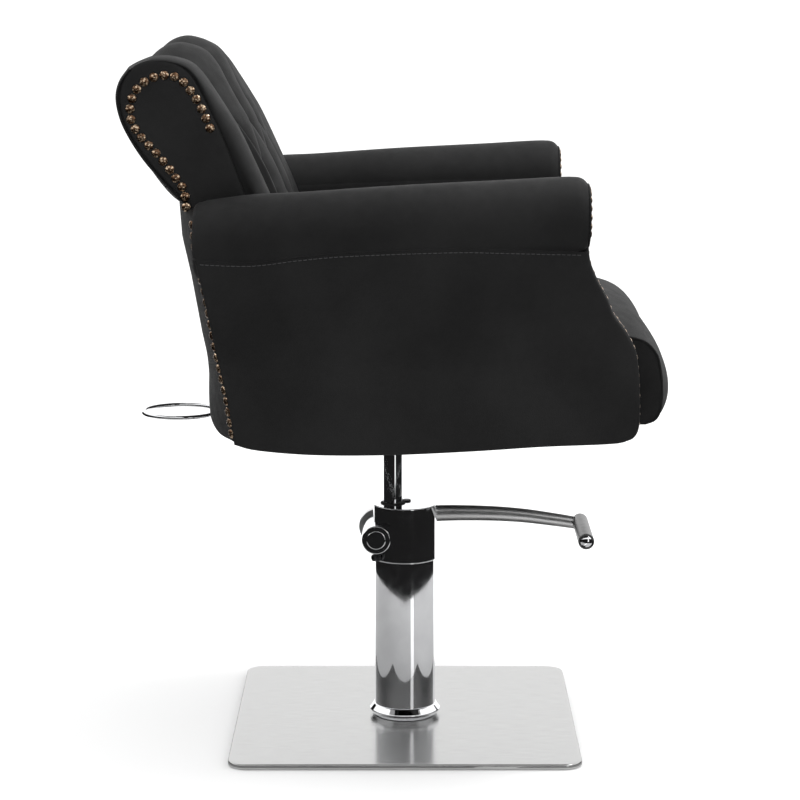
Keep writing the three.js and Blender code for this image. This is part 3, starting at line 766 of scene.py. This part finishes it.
def build_pedal():
    centre = (0, SHAFT_Y, SHAFT_Z)
    collar = fillet([(0, -27), (COLLAR_RADIUS, -27), (COLLAR_RADIUS, -40.6), (0, -40.6)], 1.3)
    shaft_end = turned("cross_shaft_end", collar, centre, CHROME, "X")
    fit(shaft_end, "pedal", "polished_chrome", "shaft_collar")
    hub_rim = [(24, 40.6), (24, 57.5), (14, 57.5), (13.2, 55.5), (12.6, 57.8)]
    hub = fillet([(0, 40.6), *hub_rim, (0, 58.4)], 1.6)
    lever = turned("pedal_lever", hub, centre, LEVER_CHROME, "X")
    line = smooth_line(LEVER_LINE, 60)
    path = np.column_stack([np.full(60, 52.0), line])
    t = np.linspace(0, 1, 60)
    half_width = 7.0 - 1.2 * t
    half_height = 11.8 - 3.4 * t ** 1.5
    arm = rings_solid("arm", tube_rings(path, half_width, half_height, 28), LEVER_CHROME)
    combine(lever, arm, "UNION")
    lever.data.shade_smooth()
    lever.data.set_sharp_from_angle(angle=math.radians(35))
    fit(lever, "pedal", "polished_chrome", "lever_arm", "cross_shaft")
    grip_centre = (0, PEDAL_Y, PEDAL_Z)
    near, far = extent("pedal_bar")[0][0], extent("pedal_bar")[1][0]
    bar_profile = [(0, near + 3), (8.7, near + 3), (8.7, near), (10.5, near), (10.5, far), (0, far)]
    bar = turned("pedal_grip_bar", fillet(bar_profile, 0.8), grip_centre, GRIP_CHROME, "X")
    fit(bar, "pedal", "polished_chrome", "pedal_bar")
    angles = np.linspace(0, 1.4, 7)
    dome = [(8.4 * math.cos(a), near + 1.6 - 4.2 * math.sin(a)) for a in angles]
    plug_profile = [(0, near + 3), (8.4, near + 3), *dome, (0, near - 2.6)]
    plug = turned("pedal_end_plug", plug_profile, grip_centre, CHROME, "X")
    fit(plug, "pedal", "polished_chrome", "pedal_plug")


def build_plunger_spring():
    """The spring under the plunger's cap, built at one length; the real one shortens as the pedal goes
    down.
    """
    low, high = extent("plunger_spring")
    wire = 0.8
    coil = (high[0] - low[0]) / 2 - wire
    middle = (low + high) / 2
    turn = np.linspace(0, SPRING_TURNS * 2 * math.pi, SPRING_TURNS * 24 + 1)
    height = np.linspace(low[2] + wire, high[2] - wire, len(turn))
    path = np.column_stack([middle[0] + coil * np.cos(turn), middle[1] + coil * np.sin(turn), height])
    spring = tube("plunger_return_spring", path, wire, DARK_STEEL, 8)
    fit(spring, "plunger", "dark_steel", "plunger_spring")
    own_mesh(spring)


# ---------------------------------------------------------------- arms

REAR_CORNER = [(205, 434), (213, 487), (226, 548), (238.5, 620), (249, 668), (252, 712)]
FRONT_CORNER = [(-275, 444.5), (-280, 458), (-280, 496), (-278, 526), (-274, 549), (-263, 571), (-248, 592),
                (-239.5, 612), (-228.5, 632), (-220, 652), (-217, 668)]
SEAM = [(250, 660), (182, 657), (124, 664), (65, 669), (-53, 673), (-112, 672), (-217, 668)]
BOTTOM = [(205, 434), (178, 427), (110, 421.5), (20, 421.5), (-80, 426), (-164, 431.5), (-240, 434.5),
          (-264, 437.5), (-275, 444.5)]
ROLL_LINE = [(250, 679), (183, 688), (124, 691), (6, 699), (-112, 705), (-183, 709), (-218, 709)]
ROLL_END_Z = 709
FACE_X = (253, 309)
EDGE_ROUND = 4


def seam_reach(ys):
    """How far out the roll's surface stands at its lower seam, for each Y."""
    seam = smooth_line(SEAM, 80)[::-1]
    centre = smooth_line(ROLL_LINE, 80)[::-1]
    fall = np.interp(ys, centre[:, 0], centre[:, 1]) - np.interp(ys, seam[:, 0], seam[:, 1])
    return ROLL_X + np.sqrt(ROLL_RADIUS ** 2 - fall ** 2)


def build_side_panel(side_name, side):
    """The outer cover: tight over the frame, leaning out to meet the roll's surface at the seam."""
    us = crowded(60, 0.013)
    vs = crowded(40, 0.03)
    rear = smooth_line(REAR_CORNER[:5], 60)
    rear[-1] = SEAM[0]
    bottom, top = smooth_line(BOTTOM, 120), smooth_line(SEAM, 120)
    patch = coons(bottom, top, rear, smooth_line(FRONT_CORNER, 90), us, vs)
    lift = rounding(us, np.minimum(vs, 0.9), 480, 240, EDGE_ROUND)
    reach = seam_reach(patch[-1, :, 0]) - ARM_OUTSIDE + 1.2
    lean = reach[None, :] * smoothstep(vs, 0.40, 1.0)[:, None]
    x = ARM_OUTSIDE - 6 + 5 * lift + lean + 1.2 * np.sin(math.pi * us)[None, :] * (1 - vs[:, None])
    front = np.concatenate([side * x[..., None], patch], axis=2)
    back = np.concatenate([np.full_like(x, side * (ARM_OUTSIDE - 12))[..., None], patch], axis=2)
    panel = slab(f"side_panel_{side_name}", front, back, LEATHER)
    fit(panel, "seat", "cover_leather", f"side_cover_{side_name}")


def roll_rings(side):
    """Rings of the arm roll, domed at the front and rounded at the rear."""
    line = smooth_line(ROLL_LINE, 60)
    front_dome = [(1 - math.cos(a), math.sin(a)) for a in np.linspace(0, math.pi / 2, 9)]
    sides = 56
    angles = np.linspace(0, 2 * math.pi, sides, endpoint=False)
    rings = []
    for y, z, radius in roll_stations(line, front_dome):
        xs = side * (ROLL_X + radius * np.cos(angles))
        rings.append(np.column_stack([xs, np.full(sides, y), z + radius * np.sin(angles)]))
    return rings


def roll_stations(line, dome):
    """(Y, Z, radius) along the roll: a tight rear edge, the straight run and a soft front edge."""
    rear_edge, front_edge = 9, 16
    stations = []
    for forward, out in dome:
        y = line[0][0] - rear_edge * forward
        stations.append((y, line[0][1], ROLL_RADIUS - rear_edge + rear_edge * out))
    for y, z in line:
        if line[0][0] - rear_edge > y > line[-1][0] + front_edge:
            stations.append((y, z, ROLL_RADIUS))
    for forward, out in dome[::-1]:
        y = line[-1][0] + front_edge * forward
        stations.append((y, line[-1][1], ROLL_RADIUS - front_edge + front_edge * out))
    return stations


def build_roll(side_name, side):
    roll = rings_solid(f"arm_roll_cover_{side_name}", roll_rings(side), LEATHER)
    fit(roll, "seat", "padded_upholstery", f"arm_roll_{side_name}")
    seam = smooth_line(SEAM, 120)[3:-3]
    reach = seam_reach(seam[:, 0])
    fold_path = np.column_stack([side * (reach - 0.6), seam + np.array([0, 0.5])])
    fit(tube(f"roll_seam_fold_{side_name}", fold_path, 1.7, LEATHER, 10), "seat", "cover_leather")
    stitch_path = np.column_stack([side * (reach + 0.4), seam + np.array([0, -4.0])])
    stitch_row(f"roll_seam_stitches_{side_name}", stitch_path, np.array([side * 0.95, 0, -0.2]))


def build_inner_pad(side_name, side):
    us = crowded(50, 0.02)
    vs = crowded(30, 0.04)
    bottom = smooth_line([(196, 450), (-30, 450), (-262, 450)], 50)
    top = smooth_line([(232, 700), (-30, 712), (-210, 716)], 50)
    rear = smooth_line([(196, 450), (215, 560), (232, 700)], 50)
    front = smooth_line([(-262, 450), (-266, 500), (-262, 550), (-242, 600), (-212, 660), (-210, 716)], 50)
    patch = coons(bottom, top, rear, front, us, vs)
    lift = rounding(us, vs, 450, 250, 12)
    puff = 2.0 * np.sin(math.pi * us)[None, :] * np.sin(math.pi * vs)[:, None]
    x = ARM_INSIDE + 17 - 17.5 * lift - puff * 0.6
    front_grid = np.concatenate([side * x[..., None], patch], axis=2)
    back_grid = np.concatenate([np.full_like(x, side * (ARM_INSIDE + 18))[..., None], patch], axis=2)
    pad = slab(f"inner_arm_cushion_{side_name}", front_grid, back_grid, LEATHER)
    fit(pad, "seat", "padded_upholstery", f"inner_arm_pad_{side_name}", f"arm_frame_{side_name}")


def facing_line(count):
    """The front edge of the arm from its lower corner up to the roll, as (Y, Z)."""
    return smooth_line([(-258, 437.5), (-268, 440), *FRONT_CORNER, (-216.6, 688)], count)


def build_facing(side_name, side):
    """The narrow front panel of the arm, and the round panel on the end of the roll."""
    count = 90
    line = facing_line(count)
    outward = outward_normals(line)
    ends = crowded(10, 0.1, 5)
    along = np.linspace(0, 1, count)
    lift = rounding(ends, along, FACE_X[1] - FACE_X[0], 260, 6)
    front = np.zeros((count, len(ends), 3))
    front[..., 0] = side * (FACE_X[0] + (FACE_X[1] - FACE_X[0]) * ends)[None, :]
    front[..., 1:] = line[:, None, :] + outward[:, None, :] * (4.5 * lift - 3.5)[..., None]
    back = front.copy()
    back[..., 1:] = line[:, None, :] - outward[:, None, :] * 8
    facing = slab(f"arm_front_facing_{side_name}", front, back, LEATHER)
    rosette_profile = [(0, 0), (38, 0), (38.5, -1), (37, -2.4), (32, -3.2), (20, -3.7), (0, -4)]
    centre = (side * ROLL_X, -215.8, ROLL_END_Z)
    rosette = turned(f"roll_end_panel_{side_name}", rosette_profile, centre, LEATHER, "Y")
    fit(facing, "seat", "cover_leather", f"arm_facing_{side_name}")
    fit(rosette, "seat", "cover_leather")


def build_facing_nails(side_name, side):
    """Nails round the front of the arm: up the outer edge, over the roll's end and down the inner edge."""
    line = facing_line(90)
    outward = outward_normals(line)
    count = int(line_length(line) / 12.6)
    spots = np.linspace(4, 82, count).astype(int)
    places, directions = [], []
    for x in (FACE_X[1] - 7, FACE_X[0] + 7):
        for i in spots:
            y, z = line[i] - outward[i] * 0.7
            places.append((side * x, y, z))
            directions.append((side * (0.25 if x > ROLL_X else -0.1), *outward[i]))
    reach = 32
    for angle in np.radians(np.linspace(-38, 218, 14)):
        x = ROLL_X + reach * math.cos(angle)
        places.append((side * x, -218.0, ROLL_END_Z + reach * math.sin(angle)))
        directions.append((side * 0.18 * math.cos(angle), -1, 0.18 * math.sin(angle)))
    nail_row(f"arm_front_nails_{side_name}", places, directions, 4.8)


# ---------------------------------------------------------------- seat cushion

SEAT_EDGE = [(120, 553), (0, 556), (-150, 559), (-240, 560), (-273, 556), (-291, 551), (-300, 543.5)]
SEAT_MIDDLE = [(120, 581), (0, 587), (-150, 591), (-220, 591), (-252, 589), (-280, 580), (-297, 566),
               (-303, 553)]
NOSE_EDGE = [(-300, 543.5), (-307, 533), (-311, 517), (-313, 500), (-313, 478), (-311, 464), (-305, 454),
             (-295, 450)]
NOSE_MIDDLE = [(-303, 551), (-315, 536), (-326, 518), (-336, 492), (-338, 472), (-332, 457), (-318, 450)]


def seat_surface(across, edge, middle):
    """Points of the crowned top for each share across the half width and each step along the side."""
    weight = (1 - np.abs(across) ** 2.4) ** 0.9
    return edge[:, None, :] + (middle - edge)[:, None, :] * weight[None, :, None]


def build_seat_cushion():
    """A crowned top panel, a rolled nose with a seam across, and a boxed side."""
    top_rows, nose_rows = 70, 44
    edge = np.vstack([smooth_line(SEAT_EDGE, top_rows), smooth_line(NOSE_EDGE, nose_rows)])
    middle = np.vstack([smooth_line(SEAT_MIDDLE, top_rows), smooth_line(NOSE_MIDDLE, nose_rows)])
    lean = 1 - np.cos(np.linspace(0, math.pi / 2, 9))
    across = np.concatenate([-1 + lean * 0.06, np.linspace(-0.94, 0.94, 61)[1:-1], (1 - lean * 0.06)[::-1]])
    yz = seat_surface(across, edge, middle)
    x = np.broadcast_to(across * CUSHION_HALF, yz.shape[:2])
    top = np.concatenate([x[..., None], yz], axis=2)
    groove = 3.2 * np.exp(-((np.arange(len(edge)) - top_rows) / 1.6) ** 2)
    crease = groove[:, None] * (1 - across[None, :] ** 8)
    top[..., 1] += crease
    top[..., 2] -= crease * 0.6
    down = np.linspace(0, 1, 9)[1:]
    side = np.zeros((len(edge), len(down), 3))
    side[..., 0] = CUSHION_HALF + 1.2 * np.sin(math.pi * down)
    side[..., 2] = edge[:, 1:] + (CUSHION_BOTTOM + 1 - edge[:, 1:]) * down
    under = edge[-20:][::-1]
    side[..., 1] = np.maximum(edge[:, :1], np.interp(side[..., 2], under[:, 1], under[:, 0]))
    mirror = side[:, ::-1] * np.array([-1, 1, 1])
    grid = np.concatenate([mirror, top, side], axis=1)
    floor = grid.copy()
    floor[..., 1] = np.maximum(grid[..., 1], grid[-1:, :, 1] + 1)
    floor[..., 2] = CUSHION_BOTTOM
    floor[..., 0] *= 0.98
    cushion = slab("seat_cushion_cover", grid, floor, LEATHER)
    fit(cushion, "seat", "padded_upholstery", "seat_cushion")
    for side_name, sign in SIDES.items():
        welt = np.column_stack([np.full(len(edge), sign * (CUSHION_HALF + 0.2)), edge])
        fit(tube(f"seat_welt_{side_name}", resample(welt, 120), 1.5, LEATHER, 10), "seat", "cover_leather")


# ---------------------------------------------------------------- back

SCROLL_FRONT = [(104, 500), (106, 540), (112, 580), (128, 640), (148, 700), (166, 742), (193, 801),
                (209, 829), (225, 854), (241, 877), (257, 891), (282, 898), (306, 896), (330, 882)]
SCROLL_REAR = [(254, 708), (268, 718), (281, 731), (296, 748), (315, 771), (331, 796), (342, 820),
               (346.5, 845), (342, 865), (330, 882)]
PLEAT = 105
DIAMOND = 95
TUFT_HALF = 1.5 * PLEAT
BACK_CREST = 230
FIRST_ROW_Z = 826


def back_columns():
    """X values across the back, and how far each has turned over the border's crest towards the side."""
    flat = np.linspace(-BACK_CREST, BACK_CREST, 181)
    turn = np.linspace(0, math.radians(112), 13)[1:]
    reach = BACK_EDGE - 0.5 - BACK_CREST
    side = BACK_CREST + reach * np.sin(turn)
    xs = np.concatenate([-side[::-1], flat, side])
    wrap = np.concatenate([(1 - np.cos(turn))[::-1], np.zeros(len(flat)), 1 - np.cos(turn)])
    return xs, wrap


def tuft_height(x, below):
    """Height of the quilting at x across and a distance below the top row of buttons. The pleats above
    that row run up over the scroll, and the diamonds lie below it."""
    p = (x - PLEAT / 2) / PLEAT
    q = np.maximum(below, 0) / DIAMOND
    first = np.abs(np.sin(math.pi * (p + q / 2)))
    second = np.abs(np.sin(math.pi * (p - q / 2)))
    puff = np.sqrt(first * second) ** 0.75
    fade = 1 - smoothstep(below, 3.1 * DIAMOND, 3.8 * DIAMOND)
    return -12 * (1 - puff) * fade


def button_places():
    """(x, distance below the top row) of each button."""
    places = []
    for row, shares in enumerate([(-0.5, 0.5), (-1, 0, 1), (-0.5, 0.5), (-1, 0, 1)]):
        places += [(share * PLEAT, row * DIAMOND) for share in shares]
    return places


def back_grid():
    """Front and top surface of the back, as rows up the scroll and columns across."""
    line = smooth_line(SCROLL_FRONT, 210)
    outward = outward_normals(line)
    step = line_length(line) / (len(line) - 1)
    first_row = int(np.argmin(np.abs(line[:170, 1] - FIRST_ROW_Z)))
    below = (first_row - np.arange(len(line))) * step
    xs, wrap = back_columns()
    x, b = np.meshgrid(xs, below)
    inside = np.abs(x) / TUFT_HALF
    share = smoothstep(np.abs(x), TUFT_HALF - 3, TUFT_HALF + 3)
    top = smoothstep(-b, 0, 90)
    crown = (5 + 10 * top) * (1 - np.clip(inside, 0, 1) ** 2)
    rise = (BACK_CREST - np.abs(x)) / (BACK_CREST - TUFT_HALF)
    border = -11 * (1 - np.sqrt(1 - np.clip(rise, 0, 0.999) ** 2))
    buttons = np.zeros_like(x)
    for bx, bb in button_places():
        buttons -= 9 * np.exp(-((x - bx) ** 2 + (b - bb) ** 2) / 15 ** 2)
    wrap_depth = 13.5 - 8 * smoothstep(line[:, 1], 810, 885)
    end = smoothstep(np.arange(len(line))[::-1], 0, 24)[:, None]
    height = (tuft_height(x, b) + 3 + crown + buttons) * (1 - share) + border * share
    height = height * end - 4 - wrap_depth[:, None] * wrap[None, :]
    grid = np.zeros((*x.shape, 3))
    grid[..., 0] = x
    grid[..., 1:] = line[:, None, :] + outward[:, None, :] * height[..., None]
    return grid, line, outward, first_row, step


def build_back_cushion():
    grid, line, outward, first_row, step = back_grid()
    inner = grid.copy()
    inner[..., 1:] = (line - outward * 30)[:, None, :]
    cushion = slab("back_cushion_tufted", grid, inner, LEATHER, 60)
    fit(cushion, "seat", "padded_upholstery", "back_cushion")
    buttons = []
    xs = grid[0, :, 0]
    for x, below in button_places():
        row = int(round(first_row - below / step))
        column = int(np.argmin(np.abs(xs - x)))
        centre = grid[row, column]
        direction = np.array([0, *outward[row]])
        buttons.append(button(centre, direction))
    fit(merge_objects("back_buttons", buttons), "seat", "padded_upholstery")


def button(centre, direction):
    side = np.array([1.0, 0, 0])
    up = np.cross(direction, side)
    angles = np.linspace(0, 2 * math.pi, 24, endpoint=False)
    rings = []
    for radius, height in [(9.5, -1.0), (11.0, 1.0), (10.8, 2.6), (9.0, 4.2), (5.5, 5.3), (2.0, 5.7)]:
        rings.append(np.outer(np.cos(angles) * radius, side) + np.outer(np.sin(angles) * radius, up)
                     + centre + direction * height)
    return rings_solid("button", rings, LEATHER, 60)


def build_scroll_cover():
    """The outside of the scroll, bowed across the back."""
    line = smooth_line(SCROLL_REAR, 70)
    outward = -outward_normals(line)
    xs, wrap = back_columns()
    share = np.clip(1 - (xs / BACK_CREST) ** 2, 0, 1)
    rise = smoothstep(line[:, 1], 700, 850)
    grid = np.zeros((len(line), len(xs), 3))
    grid[..., 0] = xs[None, :]
    grid[..., 1:] = line[:, None, :] - outward[:, None, :] * 4.2 * wrap[None, :, None]
    grid[..., 1] += (36 - 31 * rise)[:, None] * share[None, :]
    inner = grid.copy()
    inner[..., 1:] -= outward[:, None, :] * 9
    cover = slab("scroll_back_cover", grid, inner, LEATHER)
    fit(cover, "seat", "cover_leather", "scroll_cover", "back_top_rail", "back_panel")


# The seam round the scroll's end panel, from its lower front up over the top and down the rear.
END_SEAM = [(188, 722), (205, 768), (217, 800), (229, 826), (240.5, 850), (253, 872), (268, 885),
            (286, 890.6), (304, 890), (322.5, 882.5), (335, 867), (340, 845), (336, 821), (326, 799),
            (310, 775), (292, 752), (276, 735), (262, 722), (252, 706)]


def build_scroll_side(side_name, side):
    """The flat end panel of the scroll, tucked in at its seam."""
    outline = smooth_line(END_SEAM, 130)
    outline = np.vstack([outline, resample(np.array([(252, 706), (222, 700), (188, 722)]), 20)[1:-1]])
    middle = np.array([262, 806])
    edge = [(1.0, -16), (1.0, -3.2), (0.985, -1.5), (0.965, -0.5), (0.93, 0.1)]
    crown = [(0.7, 1.0), (0.4, 1.4), (0.15, 1.5)]
    rings = []
    for share, x in edge + crown:
        yz = middle + (outline - middle) * share
        rings.append(np.column_stack([np.full(len(yz), side * (BACK_EDGE + x)), yz]))
    panel = rings_solid(f"scroll_end_panel_{side_name}", rings, LEATHER)
    fit(panel, "seat", "cover_leather", f"scroll_side_{side_name}")


SCROLL_NAILS = [(232, 810), (242, 833), (253, 852), (269, 869), (291, 872), (313, 862), (325, 843),
                (326, 820), (314, 799), (299, 783), (284, 765), (270, 745), (264, 735), (262, 716)]


def build_scroll_nails(side_name, side):
    line = smooth_line(SCROLL_NAILS, 400)
    spots = resample(line, int(line_length(line) / 12.5) + 1)
    places = [(side * (BACK_EDGE + 1.0), y, z) for y, z in spots]
    outwards = [(side, 0, 0.02)] * len(places)
    nail_row(f"scroll_nails_{side_name}", places, outwards)


# ---------------------------------------------------------------- back of the body

BODY_HALF = 309


def rear_bulge(z):
    """How far the outside back stands out at mid-width: fullest along its bottom edge."""
    return 36 + 13 * (1 - smoothstep(z, 428, 530))


def rear_surface_y(x, z):
    """Y of the barrel-shaped outside back at one place."""
    corner = np.interp(z, [p[1] for p in REAR_CORNER], [p[0] for p in REAR_CORNER])
    return corner + rear_bulge(z) * (1 - (np.abs(x) / BODY_HALF) ** 2.1)


def build_rear_cover():
    """The barrel-shaped outside back, from under the seat up to the scroll."""
    us = crowded(80, 0.014)
    vs = crowded(44, 0.03)
    x = (us * 2 - 1)[None, :] * BODY_HALF
    top = 716 - 10 * smoothstep(np.abs(x), 250, BODY_HALF)
    bottom = 428 + 7 * smoothstep(np.abs(x), 200, BODY_HALF)
    z = bottom + (top - bottom) * vs[:, None]
    x = np.broadcast_to(x, z.shape)
    lift = rounding(us, vs, 2 * BODY_HALF, 288, 7)
    y = rear_surface_y(x, z) - 9 * (1 - lift)
    front = np.stack([x, y, z], axis=2)
    back = front.copy()
    back[..., 1] = rear_surface_y(x, z) - 14
    cover = slab("outside_back_cover", front, back, LEATHER)
    fit(cover, "seat", "cover_leather", "rear_cover", "back_bottom_rail")
    for side_name, side in SIDES.items():
        build_corner_nails(side_name, side)


def build_corner_nails(side_name, side):
    line = smooth_line(REAR_CORNER, 300)
    spots = resample(line, int(line_length(line) / 12.5))
    x = BODY_HALF - 6
    places = [(side * x, float(rear_surface_y(x, z)) - 0.3, z) for _, z in spots[1:-1]]
    nail_row(f"rear_corner_nails_{side_name}", places, [(side * 0.6, 0.8, -0.1)] * len(places))


# ---------------------------------------------------------------- underside, ring and the rest

FRONT_REACH = 16


def build_underside():
    """The dust sheet, stretched under the seat board, and carried a little further forward than the
    frame's own sheet."""
    low, high = extent("dust_cover")
    low[1] -= FRONT_REACH
    us = np.linspace(0, 1, 30)
    vs = np.linspace(0, 1, 30)
    width, length = high[0] - low[0], high[1] - low[1]
    x, y = np.meshgrid(low[0] + width * us, low[1] + length * vs)
    sag = 2.2 * np.sin(math.pi * us)[None, :] ** 0.5 * np.sin(math.pi * vs)[:, None] ** 0.5
    puckers = 0.5 * np.sin(us * 61)[None, :] * (1 - np.sin(math.pi * vs))[:, None]
    z = high[2] - 1.2 - sag * 0.3 - puckers * 0.4
    lower = np.stack([x, y, z], axis=2)
    upper = lower.copy()
    upper[..., 2] += 0.8
    sheet = slab("underside_dust_sheet", lower, upper, CLOTH)
    fit(sheet, "seat", "underside_cloth", "dust_cover")


def build_dryer_ring():
    """A wire ring on a stem, behind the seat."""
    low, high = extent("dryer_ring")
    wire = 2.75
    radius = high[0] - wire
    centre_y, z = high[1] - high[0], (low[2] + high[2]) / 2
    angles = np.linspace(0, 2 * math.pi, 96, endpoint=False)
    loop = [(radius * math.sin(a), centre_y - radius * math.cos(a), z) for a in angles]
    ring = closed_tube("hair_dryer_ring", loop, wire, CHROME, 20)
    stem_path = [(0, y, z) for y in np.linspace(low[1], centre_y - radius + 0.5, 8)]
    stem = tube("stem", stem_path, wire, CHROME, 20)
    combine(ring, stem, "UNION")
    ring.data.shade_smooth()
    fit(ring, "seat", "polished_chrome", "dryer_ring")


CARRIED_OVER = {
    DARK_STEEL: ["pump_foot", "foot_bolt_1", "foot_bolt_2", "foot_bolt_3", "foot_bolt_4", "valve_block",
                 "working_cylinder", "pump_barrel", "guide_bush", "oil_plug", "crank_arm", "pump_plunger",
                 "lift_piston", "seat_bracket", "seat_bolt_1", "seat_bolt_2", "seat_bolt_3",
                 "seat_bolt_4", "ring_bracket"],
    RUBBER: ["floor_pad", "piston_seal"],
    WOOD: ["seat_board"],
}


def dress_carried_nodes():
    for material, nodes in CARRIED_OVER.items():
        for node in nodes:
            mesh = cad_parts[node].data
            mesh.materials.clear()
            mesh.materials.append(material)


add_camera()
add_studio()
dress_carried_nodes()
build_base()
build_column()
build_head()
build_ram()
build_stop_screw()
build_pedal()
build_plunger_spring()
for side_label, side_sign in SIDES.items():
    build_side_panel(side_label, side_sign)
    build_roll(side_label, side_sign)
    build_inner_pad(side_label, side_sign)
    build_facing(side_label, side_sign)
    build_facing_nails(side_label, side_sign)
    build_scroll_side(side_label, side_sign)
    build_scroll_nails(side_label, side_sign)
build_seat_cushion()
build_back_cushion()
build_scroll_cover()
build_rear_cover()
build_underside()
build_dryer_ring()
